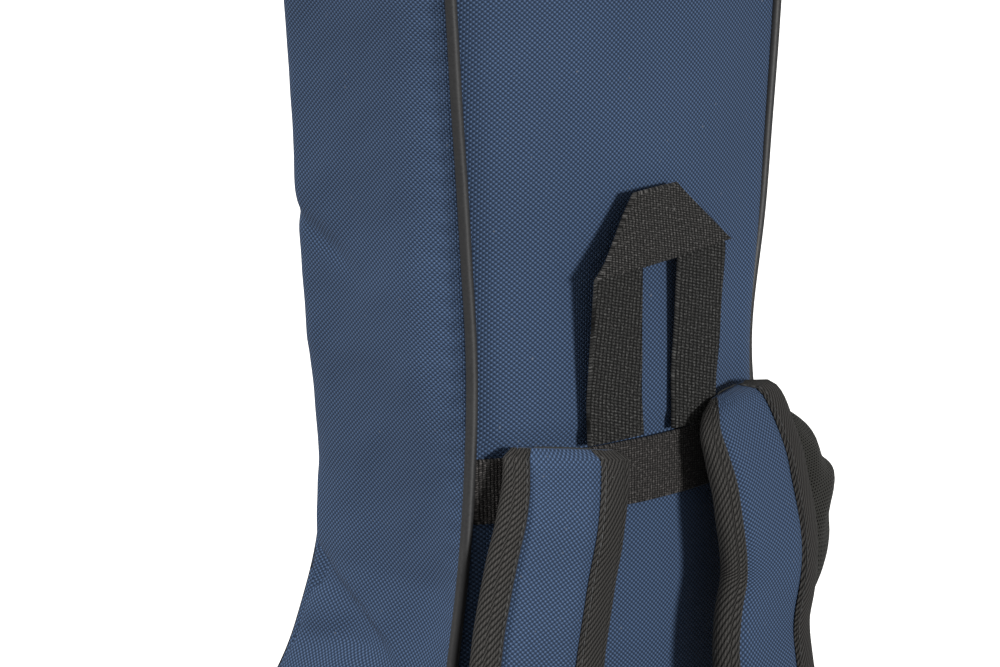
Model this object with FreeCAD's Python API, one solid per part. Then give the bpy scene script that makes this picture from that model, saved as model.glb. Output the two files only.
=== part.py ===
"""Padded gig bag for an acoustic guitar, with carrying straps, zips and pockets.

Millimetres. Origin at the centre of the base patch's underside, +Z up, the strap side faces -Y.
"""

import FreeCAD, Part
import math
import os

os.makedirs("parts", exist_ok=True)

# Driving dimensions ---------------------------------------------------------------------------

BOTTOM_Z = 3.0            # underside of the bag's own fabric, on top of the base patch
TOP_Z = 1070.0
BACK_SEAM_Y = -65.0       # plane of the welt round the strap side
NECK_FRONT_Y = 27.0       # front surface along the neck
BODY_FRONT_Y = 65.0       # front surface over the body
RAMP_TOP_Z = 547.0        # the front surface starts to come forward here
RAMP_FOOT_Z = 400.0       # and reaches full depth here

COVER = 1.0               # woven shell
FOAM = 9.0                # padding
LINING = 0.8              # inner cloth
GAP = 0.2                 # clearance between layers that touch on the real bag
MOVING_GAP = 0.5          # clearance between pieces that move against each other

WELT_RADIUS = 2.2
PANEL_INSET = 2.6         # the back panel's edge, measured in from the outline
CROWN_EDGE_Y = -63.5      # where the crowned back panel meets its seam
ZIP_CENTRE_INSET = 12.8   # middle of the zip's teeth, measured in from the outline
ZIP_HALF = 2.0
LID_INSET = 20.6          # edge of the lid's padded panel

WEBBING = 25.0            # width of all plain webbing
WEBBING_THICK = 1.6
BAND_TOP_Z = 600.0        # top edge of the webbing band that holds straps and hang loop

STRAP_WIDTH = 53.0        # between the bindings
STRAP_FOAM = 11.0
BINDING = 2.4             # binding tape over each long edge
STRAP_END_Z = 190.0

BASE_PATCH = (210.0, 90.0, 2.8)
HINGE_Z = (102.0, 160.0)  # the straight side where the lid stays joined to the bag

# Corners of the right half of the outline: x, z, corner radius, from the bottom to the top
HALF_OUTLINE = (
    (208.0, BOTTOM_Z, 100.0),
    (208.0, 190.0, 150.0),
    (150.0, 345.0, 150.0),
    (165.0, 440.0, 60.0),
    (89.0, 488.0, 70.0),
    (70.5, 600.0, 560.0),
    (107.0, TOP_Z, 95.0),
)

# Height of the back panel's crown over its seam: z, half width of the panel there, rise
CROWN = (
    (BOTTOM_Z - 1, 108.0, 1.0),
    (40.0, 186.0, 6.0),
    (100.0, 208.0, 11.0),
    (165.0, 208.0, 14.0),
    (230.0, 193.0, 15.0),
    (345.0, 155.0, 15.0),
    (415.0, 159.0, 15.0),
    (450.0, 145.0, 15.0),
    (478.0, 107.0, 16.0),
    (515.0, 85.0, 17.0),
    (600.0, 74.5, 17.0),
    (700.0, 78.3, 17.0),
    (950.0, 97.7, 16.0),
    (1015.0, 90.5, 11.0),
    (1052.0, 60.0, 5.0),
    (TOP_Z + 1, 14.0, 1.0),
)

# Middle of each shoulder strap: x, y, z, turn of its face away from the middle of the bag
STRAP_LEFT = (
    (-45.5, -85.0, 603.0, 16.0),
    (-52.5, -85.5, 560.0, 16.0),
    (-60.5, -88.0, 516.0, 16.0),
    (-74.0, -97.0, 450.0, 14.0),
    (-88.0, -107.0, 380.0, 10.0),
    (-102.0, -111.0, 310.0, 8.0),
    (-114.0, -107.0, 245.0, 8.0),
    (-124.0, -97.0, STRAP_END_Z, 10.0),
)
STRAP_RIGHT = (
    (43.0, -88.5, 610.0, -13.0),
    (46.0, -93.5, 575.0, -12.0),
    (48.5, -96.0, 545.0, -10.0),
    (46.5, -98.0, 510.0, -10.0),
    (57.0, -106.0, 450.0, -10.0),
    (77.0, -112.0, 380.0, -8.0),
    (97.0, -114.0, 310.0, -8.0),
    (112.0, -109.0, 245.0, -8.0),
    (124.0, -98.0, STRAP_END_Z, -10.0),
)
ANCHOR_X = 150.0          # lower strap anchors on the back panel
ANCHOR_Z = 58.0

HANDLE_Z = (278.0, 398.0)
HANDLE_REACH = 40.0
HANDLE_Y = -3.0

FAR = 400.0               # beyond the bag on every side


# Helpers --------------------------------------------------------------------------------------

def vec(x, y, z):
    return FreeCAD.Vector(x, y, z)


def save(name, *shapes):
    """Write one node: a single solid, or a compound of separate solids."""
    solids = [solid for shape in shapes for solid in shape.Solids]
    shape = solids[0] if len(solids) == 1 else Part.makeCompound(solids)
    shape.exportStep(f"parts/{name}.step")
    box = shape.BoundBox
    print(f"{name}: {len(solids)} solid(s), {shape.Volume / 1000:.1f} cm3, z {box.ZMin:.1f}..{box.ZMax:.1f}")
    return shape


def rounded_wire(corners):
    """Closed wire in the XZ plane through rounded corners (x, z, radius)."""
    points = [vec(x, 0, z) for x, z, _ in corners]
    ends = []
    for i, (_, _, radius) in enumerate(corners):
        here = points[i]
        back = (points[i - 1] - here).normalize()
        ahead = (points[(i + 1) % len(points)] - here).normalize()
        half = back.getAngle(ahead) / 2
        reach = radius / math.tan(half)
        middle = (back + ahead).normalize() * (radius / math.sin(half) - radius)
        ends.append((here + back * reach, here + middle, here + ahead * reach))
    edges = []
    for i, (start, middle, stop) in enumerate(ends):
        edges.append(Part.Arc(start, middle, stop).toShape())
        edges.append(Part.makeLine(stop, ends[(i + 1) % len(ends)][0]))
    return Part.Wire(edges)


def outline(inset=0.0):
    """The bag's outline seen from the front, moved in by inset."""
    left = [(-x, z, radius) for x, z, radius in reversed(HALF_OUTLINE)]
    wire = rounded_wire(list(HALF_OUTLINE) + left)
    return wire.makeOffset2D(-inset) if inset else wire


def prism(wire, y_from, y_to):
    """A wire in the XZ plane carried along Y."""
    face = Part.Face(wire)
    face.translate(vec(0, y_from, 0))
    return face.extrude(vec(0, y_to - y_from, 0))


def ring(outer, inner):
    """The wall between two insets of the outline, deeper than the bag."""
    return prism(outline(outer), -FAR, FAR).cut(prism(outline(inner), -FAR - 1, FAR + 1))


def box(x, y, z):
    """A box from three (low, high) pairs."""
    return Part.makeBox(x[1] - x[0], y[1] - y[0], z[1] - z[0], vec(x[0], y[0], z[0]))


def along_x(points, x_from=-FAR, x_to=FAR):
    """A polygon of (y, z) points carried along X."""
    wire = Part.makePolygon([vec(x_from, y, z) for y, z in points + points[:1]])
    return Part.Face(wire).extrude(vec(x_to - x_from, 0, 0))


def front_line(shift):
    """The front surface's profile in the YZ plane, moved along Y."""
    return [
        (BODY_FRONT_Y + shift, -FAR),
        (BODY_FRONT_Y + shift, RAMP_FOOT_Z),
        (NECK_FRONT_Y + shift, RAMP_TOP_Z),
        (NECK_FRONT_Y + shift, TOP_Z + FAR),
    ]


def front_slab(lower, upper):
    """Space between two copies of the front surface."""
    return along_x(front_line(lower) + front_line(upper)[::-1])


def depth_slab(y_from, upper):
    """Space from a flat back plane to a copy of the front surface."""
    return along_x([(y_from, -FAR)] + front_line(upper) + [(y_from, TOP_Z + FAR)])


def crown_arc(z, half, rise, shift, margin=8.0):
    """Arc across the back panel at one height, reaching a little past its edges."""
    radius = (half * half + rise * rise) / (2 * rise)
    centre_y = CROWN_EDGE_Y - rise + radius + shift
    reach = half + margin
    side_y = centre_y - math.sqrt(radius * radius - reach * reach)
    return vec(-reach, side_y, z), vec(0, centre_y - radius, z), vec(reach, side_y, z)


def crown_at(z):
    """Half width and rise of the crown at one height, between the listed ones."""
    for (z0, half0, rise0), (z1, half1, rise1) in zip(CROWN, CROWN[1:]):
        if z0 <= z <= z1:
            part = (z - z0) / (z1 - z0)
            return half0 + (half1 - half0) * part, rise0 + (rise1 - rise0) * part
    raise ValueError(z)


def crown_y(x, z):
    """The back panel's outer surface."""
    half, rise = crown_at(z)
    radius = (half * half + rise * rise) / (2 * rise)
    return CROWN_EDGE_Y - rise + radius - math.sqrt(radius * radius - x * x)


def crown_layer(near, far, z_range=None):
    """A layer that follows the crowned back, between two depths inward from its surface."""
    heights = CROWN
    if z_range:
        heights = [(z, *crown_at(z)) for z in z_range]
    wires = []
    for z, half, rise in heights:
        a, b, c = crown_arc(z, half, rise, near)
        d, e, f = crown_arc(z, half, rise, far)
        wires.append(Part.Wire([
            Part.Arc(a, b, c).toShape(),
            Part.makeLine(c, f),
            Part.Arc(f, e, d).toShape(),
            Part.makeLine(d, a),
        ]))
    return Part.makeLoft(wires, True, True)


def circle_sweep(wire, start, direction, radius):
    """A round bar along a closed wire."""
    profile = Part.Wire(Part.Circle(start, direction, radius).toShape())
    return Part.Solid(wire.makePipeShell([profile], True, True))


# Bag body -------------------------------------------------------------------------------------

def back_panel():
    """Crowned strap-side panel: shell, padding and lining, and the welt round it."""
    foam_from = COVER + GAP
    lining_from = foam_from + FOAM + GAP
    inside = prism(outline(PANEL_INSET), -FAR, FAR)
    save("back_cover", crown_layer(0, COVER).common(inside))
    save("back_foam", crown_layer(foam_from, foam_from + FOAM).common(inside))
    inner = prism(outline(PANEL_INSET + 10), -FAR, FAR)
    save("back_lining", crown_layer(lining_from, lining_from + LINING).common(inner))
    path = outline()
    path.translate(vec(0, BACK_SEAM_Y, 0))
    start = vec(0, BACK_SEAM_Y, BOTTOM_Z)
    save("back_piping", circle_sweep(path, start, vec(1, 0, 0), WELT_RADIUS))


def gusset():
    """Side wall all round the bag: shell with a turned-in front edge, foam strips and lining."""
    seam_y = BACK_SEAM_Y + WELT_RADIUS + 0.1
    wall = ring(0, COVER).common(depth_slab(seam_y, 0))
    edge = ring(0, 7).common(front_slab(-COVER, 0))
    save("gusset_cover", wall.fuse(edge).removeSplitter())

    foam_in = COVER + GAP
    foam_back = CROWN_EDGE_Y + COVER + FOAM + LINING + 4
    foam = ring(foam_in, foam_in + FOAM).common(depth_slab(foam_back, -COVER - GAP))
    gap = GAP / 2
    strips = {
        "bottom": ((-FAR, FAR), (-FAR, 103 - gap)),
        "left_body": ((-FAR, 0), (103 + gap, 500 - gap)),
        "right_body": ((0, FAR), (103 + gap, 500 - gap)),
        "left_neck": ((-FAR, 0), (500 + gap, 960 - gap)),
        "right_neck": ((0, FAR), (500 + gap, 960 - gap)),
        "top": ((-FAR, FAR), (960 + gap, TOP_Z + FAR)),
    }
    for name, (x, z) in strips.items():
        save(f"gusset_foam_{name}", foam.common(box(x, (-FAR, FAR), z)))

    lining_in = foam_in + FOAM + GAP
    lining = ring(lining_in, lining_in + LINING).common(depth_slab(foam_back, -COVER - GAP))
    save("gusset_lining", lining)


def hinge_gap(reach_in):
    """The stretch of the right side where the zip is left out."""
    return box((208 - reach_in, FAR), (-FAR, FAR), (HINGE_Z[0] - 0.5, HINGE_Z[1] + 0.5))


def main_zip():
    """Zip round the front: tape and teeth on the bag, and the strip that hinges the lid."""
    teeth_in = ZIP_CENTRE_INSET - ZIP_HALF
    teeth_out = ZIP_CENTRE_INSET + ZIP_HALF
    gap = hinge_gap(30)
    tape = ring(7 + GAP, teeth_in - GAP).common(front_slab(-0.9, -0.3)).cut(gap)
    teeth = ring(teeth_in, teeth_out).common(front_slab(-0.8, 1.0)).cut(gap)
    save("zipper_tape_base", tape)
    save("main_zipper_chain", teeth)
    strip_x = (208 - LID_INSET + 3.6, 208 - 7 - GAP)
    save("lid_hinge_tape", box(strip_x, (BODY_FRONT_Y - 0.9, BODY_FRONT_Y - 0.1), HINGE_Z))


def interior():
    """Loose padding inside: neck rest with its tie strap, and a block under the guitar's end."""
    rest_back = crown_y(0, 700) + COVER + FOAM + LINING + 4 * GAP + 19
    rest = box((-45, 45), (rest_back - 12, rest_back + 14), (650, 740))
    rest = rest.makeFillet(6, [edge for edge in rest.Edges if abs(edge.tangentAt(0).y) > 0.9])
    save("neck_rest", rest)
    tie = box((-52, 52), (rest_back + 14 + GAP, rest_back + 14 + GAP + 1.4), (682, 707))
    save("neck_tie_strap", tie)
    bumper = box((-95, 95), (-40, 40), (BOTTOM_Z + 11.6, BOTTOM_Z + 30))
    bumper = bumper.makeFillet(8, [edge for edge in bumper.Edges if abs(edge.tangentAt(0).y) > 0.9])
    save("end_bumper", bumper)


def base_patch():
    """Rubberised patch that the bag stands on."""
    width, depth, thick = BASE_PATCH
    patch = box((-width / 2, width / 2), (-depth / 2, depth / 2), (0, thick))
    upright = [edge for edge in patch.Edges if abs(edge.tangentAt(0).z) > 0.9]
    save("base_patch", patch.makeFillet(12, upright))


def back_fittings():
    """Webbing band across the neck, and the sewn tabs that hold the straps' lower ends."""
    inside = prism(outline(PANEL_INSET + GAP), -FAR, FAR)
    band = crown_layer(-GAP - WEBBING_THICK, -GAP, (BAND_TOP_Z - WEBBING, BAND_TOP_Z))
    save("strap_anchor_band", band.common(inside))
    tab_z = (ANCHOR_Z - 18, ANCHOR_Z + 6)
    tabs = crown_layer(-GAP - WEBBING_THICK, -GAP, tab_z)
    for side, sign in (("left", -1), ("right", 1)):
        middle = sign * ANCHOR_X
        window = box((middle - 16, middle + 16), (-FAR, 0), tab_z)
        save(f"lower_anchor_tab_{side}", tabs.common(window))


# Lid ------------------------------------------------------------------------------------------

def lid():
    """Front panel that opens: shell, padding, lining and its zip tape."""
    foam_to = -COVER - GAP
    lining_to = foam_to - FOAM - GAP
    panel = prism(outline(LID_INSET), -FAR, FAR)
    core = prism(outline(LID_INSET + 1.5), -FAR, FAR)
    save("lid_cover", panel.common(front_slab(-COVER, 0)))
    save("lid_foam", core.common(front_slab(foam_to - FOAM, foam_to)))
    save("lid_lining", core.common(front_slab(lining_to - LINING, lining_to)))
    tape = ring(LID_INSET - 2.4, LID_INSET - GAP).common(front_slab(-0.9, -0.3)).cut(hinge_gap(30))
    save("zipper_tape_lid", tape)


def pocket(name, corners, back_y, depth, slot):
    """Box pocket on the lid with a slot for its zip: shell and teeth.

    corners is its outline, back_y the surface it is sewn to, slot the opening's x and z ranges.
    """
    wire = rounded_wire(corners)
    front_y = back_y + depth
    outer = prism(wire, back_y + GAP, front_y)
    inner = prism(wire.makeOffset2D(-1.4), back_y, front_y - 1.4)
    opening = box(slot[0], (front_y - 5, front_y + 5), slot[1])
    save(f"{name}_cover", outer.cut(inner).cut(opening))
    x, z = slot
    teeth = box(
        (x[0] + GAP, x[1] - GAP), (front_y - 1.5, front_y + 0.4), (z[0] + GAP, z[1] - GAP)
    )
    save(f"{name}_chain", teeth)


BODY_POCKET_DEPTH = 30.0
NECK_POCKET_DEPTH = 25.0
BODY_POCKET_SLOT = ((-108.0, 108.0), (306.0, 310.4))
NECK_POCKET_SLOT = ((-2.2, 2.2), (680.0, 895.0))


def pockets():
    pocket(
        "body_pocket",
        [(-140, 48, 40), (140, 48, 40), (122, 334, 34), (-122, 334, 34)],
        BODY_FRONT_Y,
        BODY_POCKET_DEPTH,
        BODY_POCKET_SLOT,
    )
    pocket(
        "neck_pocket",
        [(-47, 640, 30), (47, 640, 30), (66, 925, 30), (-66, 925, 30)],
        NECK_FRONT_Y,
        NECK_POCKET_DEPTH,
        NECK_POCKET_SLOT,
    )


# Zip sliders ----------------------------------------------------------------------------------

PULL_BAR_UP = 3.6         # the pull's pivot, above the slider's underside


def slider_shape(width=8.0, length=12.0):
    """Slider at the origin, running along Z with its face towards +Y, underside on y = 0."""
    plate = box((-width / 2, width / 2), (0, 2.4), (-length / 2, length / 2))
    upright = [edge for edge in plate.Edges if abs(edge.tangentAt(0).y) > 0.9]
    plate = plate.makeFillet(1.8, upright)
    bridge = box((-1.1, 1.1), (2.4, 6.0), (-4.2, 4.2))
    bridge = bridge.cut(box((-2, 2), (2.4, 4.9), (-2.8, 2.8)))
    return plate.fuse(bridge).removeSplitter()


def pull_shape():
    """Pull that hangs from the slider's bridge: a cross bar, two arms and a tapered tab."""
    low, high = PULL_BAR_UP - 0.6, PULL_BAR_UP + 0.6
    bar = box((-3.2, 3.2), (low, high), (-0.6, 0.6))
    arms = [box((x - 0.6, x + 0.6), (low, high), (-7, -0.5)) for x in (-2.6, 2.6)]
    tab = rounded_wire([(-3.2, -32, 2), (3.2, -32, 2), (3.2, -6.6, 0.3), (-3.2, -6.6, 0.3)])
    return bar.multiFuse(arms + [prism(tab, low, high)]).removeSplitter()


def place(shape, at, turn):
    """Turn a shape about Y, then move it."""
    shape.rotate(vec(0, 0, 0), vec(0, 1, 0), turn)
    shape.translate(at)
    return shape


def slider_and_pull(name, at, turn):
    save(f"{name}_slider", place(slider_shape(), at, turn))
    save(f"{name}_pull", place(pull_shape(), at, turn))


MAIN_SLIDER_Z = 905.0


def neck_side():
    """Slope of the neck's straight side, and its half width at the main sliders' height."""
    low, high = HALF_OUTLINE[5], HALF_OUTLINE[6]
    slope = (high[0] - low[0]) / (high[1] - low[1])
    return slope, low[0] + slope * (MAIN_SLIDER_Z - low[1])


def sliders():
    slope, half = neck_side()
    lean = math.degrees(math.atan(slope))
    across = half - ZIP_CENTRE_INSET * math.sqrt(1 + slope * slope)
    y = NECK_FRONT_Y + 1.0 + MOVING_GAP
    slider_and_pull("main_left", vec(-across, y, MAIN_SLIDER_Z), -lean)
    slider_and_pull("main_right", vec(across, y, MAIN_SLIDER_Z), lean)
    (x0, _), (z0, z1) = BODY_POCKET_SLOT
    y = BODY_FRONT_Y + BODY_POCKET_DEPTH + 0.4 + MOVING_GAP
    slider_and_pull("body_pocket", vec(x0 + 10, y, (z0 + z1) / 2), -90)
    (x0, x1), (z0, z1) = NECK_POCKET_SLOT
    y = NECK_FRONT_Y + NECK_POCKET_DEPTH + 0.4 + MOVING_GAP
    slider_and_pull("neck_pocket", vec((x0 + x1) / 2, y, z1 - 10), 0)


# Hang loop and carry handle -------------------------------------------------------------------

LOOP_HINGE = (-82.0, 617.0)   # y, z
LOOP_LEAN = 6.5               # the loop stands a little off the panel


def hang_loop():
    """Webbing loop with two folded corners, and the short tails that come out of the band."""
    y, z = LOOP_HINGE
    points = [(-30, z + 1), (-34, 668), (-13.5, 697.5), (9.5, 697.5), (37.5, 672), (35, z + 1),
              (13, z + 1), (13, 671), (-6, 671), (-3, z + 1)]
    wire = Part.makePolygon([vec(x, 0, up) for x, up in points + points[:1]])
    loop = prism(wire, y - WEBBING_THICK / 2, y + WEBBING_THICK / 2)
    loop.rotate(vec(0, y, z), vec(1, 0, 0), LOOP_LEAN)
    save("hang_loop", loop)
    tail_y = (y - 0.4, y + 0.9)
    tails = [box(x, tail_y, (BAND_TOP_Z + GAP, z - 0.5)) for x in ((-30, -3), (13, 35))]
    save("hang_loop_tails", *tails)


def outline_x(z):
    """The outline's right side at one height."""
    line = Part.makeLine(vec(0, 0, z), vec(FAR, 0, z))
    return Part.Face(outline()).common(line).BoundBox.XMax


def carry_handle():
    """Side handle: webbing strap, soft grip and the patches it is sewn to."""
    low_z, high_z = HANDLE_Z
    low_x, high_x = outline_x(low_z) + 3.4, outline_x(high_z) + 3.4
    reach = HANDLE_REACH
    rise = 20
    outer = [
        (low_x, low_z - 1), (low_x + reach, low_z + rise),
        (high_x + reach, high_z - rise), (high_x, high_z + 1),
    ]
    inner = [(high_x, high_z - 2), (high_x + reach - 2.4, high_z - rise - 1),
             (low_x + reach - 2.4, low_z + rise + 1), (low_x, low_z + 2)]
    points = [vec(x, 0, z) for x, z in outer + inner]
    strap = prism(Part.makePolygon(points + points[:1]), HANDLE_Y - WEBBING / 2, HANDLE_Y + WEBBING / 2)
    save("carry_handle_webbing", strap)

    start = vec(low_x + reach - 1.2, HANDLE_Y, low_z + rise + 4)
    stop = vec(high_x + reach - 1.2, HANDLE_Y, high_z - rise - 4)
    along = stop - start
    grip = Part.makeBox(16, 34, along.Length, vec(-8, -17, 0))
    upright = [edge for edge in grip.Edges if abs(edge.tangentAt(0).z) > 0.9]
    grip = grip.makeFillet(7, upright)
    grip.rotate(vec(0, 0, 0), vec(0, 1, 0), math.degrees(math.atan2(along.x, along.z)))
    grip.translate(start)
    clear = [vec(x, 0, z) for x, z in (
        (low_x + reach - 2.6, low_z + rise), (low_x + reach + GAP, low_z + rise),
        (high_x + reach + GAP, high_z - rise), (high_x + reach - 2.6, high_z - rise))]
    slot_half = WEBBING / 2 + GAP
    slot = prism(Part.makePolygon(clear + clear[:1]), HANDLE_Y - slot_half, HANDLE_Y + slot_half)
    save("carry_handle_grip", grip.cut(slot))

    skin = ring(-2.0, -GAP)
    pads = [
        skin.common(box((0, FAR), (HANDLE_Y - 16, HANDLE_Y + 16), (z - 15, z + 15)))
        for z in HANDLE_Z
    ]
    save("handle_anchor_patches", *pads)


# Shoulder straps ------------------------------------------------------------------------------

def strap_frames(stations):
    """Middle, outward direction and width direction at each station."""
    frames = []
    for i, (x, y, z, turn) in enumerate(stations):
        before = vec(*stations[max(i - 1, 0)][:3])
        after = vec(*stations[min(i + 1, len(stations) - 1)][:3])
        along = (after - before).normalize()
        angle = math.radians(turn)
        facing = vec(-math.sin(angle), -math.cos(angle), 0)
        outward = (facing - along * facing.dot(along)).normalize()
        frames.append((vec(x, y, z), outward, along.cross(outward)))
    return frames


def strap_layer(frames, across, out):
    """Loft of rectangles: across and out are (low, high) offsets from the strap's middle."""
    wires = []
    for middle, outward, sideways in frames:
        corners = [
            middle + sideways * a + outward * o
            for a, o in (
                (across[0], out[0]), (across[1], out[0]), (across[1], out[1]), (across[0], out[1])
            )
        ]
        wires.append(Part.makePolygon(corners + corners[:1]))
    return Part.makeLoft(wires, True, True)


def ladder_lock(name, top, outward, sideways, along):
    """Three-bar buckle for the webbing, hung below the strap's padded end."""
    frame = [(-16.5, 16.5), (0, 36)]
    slots = [(3.0, 8.0), (11.5, 19.0), (22.5, 32.0)]

    def block(across, down, thick):
        corners = [
            top + sideways * across[i] + along * down[j] - outward * (thick / 2)
            for i, j in ((0, 0), (1, 0), (1, 1), (0, 1))
        ]
        return Part.Face(Part.makePolygon(corners + corners[:1])).extrude(outward * thick)

    body = block(frame[0], frame[1], 4)
    for slot in slots:
        body = body.cut(block((-13.2, 13.2), slot, 8))
    save(name, body)


def shoulder_strap(side, stations):
    """One strap: shell, padding, mesh lining, edge binding, buckle and lower webbing."""
    frames = strap_frames(stations)
    half, thick = STRAP_WIDTH / 2, STRAP_FOAM / 2
    outer = thick + GAP
    save(f"strap_{side}_foam", strap_layer(frames, (-half + GAP, half - GAP), (-thick, thick)))
    save(f"strap_{side}_cover", strap_layer(frames, (-half, half), (outer, outer + COVER)))
    save(f"strap_{side}_lining", strap_layer(frames, (-half, half), (-outer - LINING, -outer)))
    edges = [
        strap_layer(frames, (a, a + BINDING), (-outer - COVER, outer + COVER))
        for a in (-half - GAP - BINDING, half + GAP)
    ]
    save(f"strap_{side}_binding", *edges)

    middle, outward, sideways = frames[-1]
    along = sideways.cross(outward) * -1
    if along.z > 0:
        along = along * -1
    ladder_lock(f"ladder_lock_{side}", middle + along * 2, outward, sideways, along)

    sign = -1 if side == "left" else 1
    start = middle + along * 39.5
    foot_z = ANCHOR_Z + 8
    foot = vec(sign * ANCHOR_X, crown_y(ANCHOR_X, foot_z) - 3, foot_z)
    knee = start * 0.45 + foot * 0.55 + vec(0, -7, 0)
    route = [(point.x, point.y, point.z, stations[-1][3]) for point in (start, knee, foot)]
    web = strap_layer(strap_frames(route), (-WEBBING / 2, WEBBING / 2), (-0.8, 0.8))
    save(f"strap_{side}_webbing", web)


back_panel()
gusset()
main_zip()
interior()
base_patch()
back_fittings()
lid()
pockets()
sliders()
hang_loop()
carry_handle()
shoulder_strap("left", STRAP_LEFT)
shoulder_strap("right", STRAP_RIGHT)
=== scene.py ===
"""Padded guitar gig bag: visible surfaces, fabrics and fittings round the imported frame.

Shapes are worked out in millimetres on numpy grids and put into meshes in metres.
"""

import logging
import math
from dataclasses import dataclass, field
from enum import Enum
from itertools import product

import bmesh
import bpy
import numpy as np
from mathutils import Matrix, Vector


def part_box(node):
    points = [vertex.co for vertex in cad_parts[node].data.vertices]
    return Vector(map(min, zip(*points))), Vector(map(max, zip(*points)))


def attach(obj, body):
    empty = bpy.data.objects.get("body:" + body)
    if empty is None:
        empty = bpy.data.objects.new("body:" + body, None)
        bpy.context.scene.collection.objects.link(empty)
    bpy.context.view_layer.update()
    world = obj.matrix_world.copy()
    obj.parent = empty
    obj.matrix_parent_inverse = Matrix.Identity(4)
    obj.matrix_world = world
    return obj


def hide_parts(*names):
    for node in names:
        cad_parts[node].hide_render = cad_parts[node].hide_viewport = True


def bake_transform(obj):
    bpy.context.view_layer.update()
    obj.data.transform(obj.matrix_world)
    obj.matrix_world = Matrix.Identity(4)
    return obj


logging.basicConfig(level=logging.INFO, format="%(name)s: %(message)s")
LOG = logging.getLogger("gig_bag")

MM = 0.001
TAU = 2 * math.pi

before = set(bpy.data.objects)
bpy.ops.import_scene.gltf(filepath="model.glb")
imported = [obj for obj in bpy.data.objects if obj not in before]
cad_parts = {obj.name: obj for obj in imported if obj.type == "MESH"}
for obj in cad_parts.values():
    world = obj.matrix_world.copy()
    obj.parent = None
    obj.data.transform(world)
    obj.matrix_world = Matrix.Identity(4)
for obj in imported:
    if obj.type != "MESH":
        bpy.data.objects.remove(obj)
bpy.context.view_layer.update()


# Numbers and curves -----------------------------------------------------------------------------

def node_box(node: str) -> tuple[np.ndarray, np.ndarray]:
    """Lowest and highest corner of a frame node, in millimetres."""
    low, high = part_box(node)
    return np.array(low) / MM, np.array(high) / MM


def smooth(x: np.ndarray, low: float, high: float) -> np.ndarray:
    """Smooth step: 0 below low, 1 above high, 3t^2 - 2t^3 between."""
    t = np.clip((np.asarray(x, float) - low) / (high - low), 0, 1)
    return t * t * (3 - 2 * t)


def hill(x: np.ndarray, centre: float, width: float) -> np.ndarray:
    """Bell curve exp(-(x - centre)^2 / width^2)."""
    return np.exp(-((np.asarray(x, float) - centre) / width) ** 2)


def unit(vectors: np.ndarray) -> np.ndarray:
    """Vectors scaled to length one along the last axis."""
    length = np.linalg.norm(vectors, axis=-1, keepdims=True)
    return vectors / np.maximum(length, 1e-12)


def lengths_along(points: np.ndarray) -> np.ndarray:
    """Distance from the first point to each point, along the line through them."""
    steps = np.linalg.norm(np.diff(points, axis=0), axis=1)
    return np.concatenate([[0.0], np.cumsum(steps)])


def sampled(line: np.ndarray, along: np.ndarray, wanted: np.ndarray) -> np.ndarray:
    """Values at the wanted distances on a line whose own rows lie at the distances along."""
    return np.stack([np.interp(wanted, along, line[:, k]) for k in range(line.shape[1])], 1)


def spaced(points: np.ndarray, step: float) -> np.ndarray:
    """The same line with points about step apart."""
    along = lengths_along(points)
    count = max(2, int(round(along[-1] / step)) + 1)
    return sampled(points, along, np.linspace(0, along[-1], count))


def spline(points: np.ndarray, step: float) -> np.ndarray:
    """Centripetal Catmull-Rom curve through the points, resampled about step apart."""
    p = np.asarray(points, float)
    p = np.vstack([2 * p[0] - p[1], p, 2 * p[-1] - p[-2]])
    dense = []
    for a, b, c, d in zip(p, p[1:], p[2:], p[3:]):
        t = np.linspace(0, 1, 24, endpoint=False)[:, None]
        square, cube = (2 * a - 5 * b + 4 * c - d) * t**2, (3 * b - a - 3 * c + d) * t**3
        dense.append(0.5 * (2 * b + (c - a) * t + square + cube))
    return spaced(np.vstack([*dense, p[-2:-1]]), step)


def ripple(a: np.ndarray, b: np.ndarray, size: float, seed: int) -> np.ndarray:
    """Soft irregular waves: a sum of six sines in turned directions, about -1 to 1, size across."""
    rng = np.random.default_rng(seed)
    total = np.zeros(np.broadcast(a, b).shape)
    for _ in range(6):
        turn, phase = rng.uniform(0, TAU, 2)
        wave = TAU / (size * rng.uniform(0.7, 1.6))
        total = total + np.sin(wave * (a * math.cos(turn) + b * math.sin(turn)) + phase)
    return total / 3.2


# Meshes -----------------------------------------------------------------------------------------

def put(name: str, data: bpy.types.ID) -> bpy.types.Object:
    """A new object in the scene that shows the data."""
    made = bpy.data.objects.new(name, data)
    bpy.context.scene.collection.objects.link(made)
    return made


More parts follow.
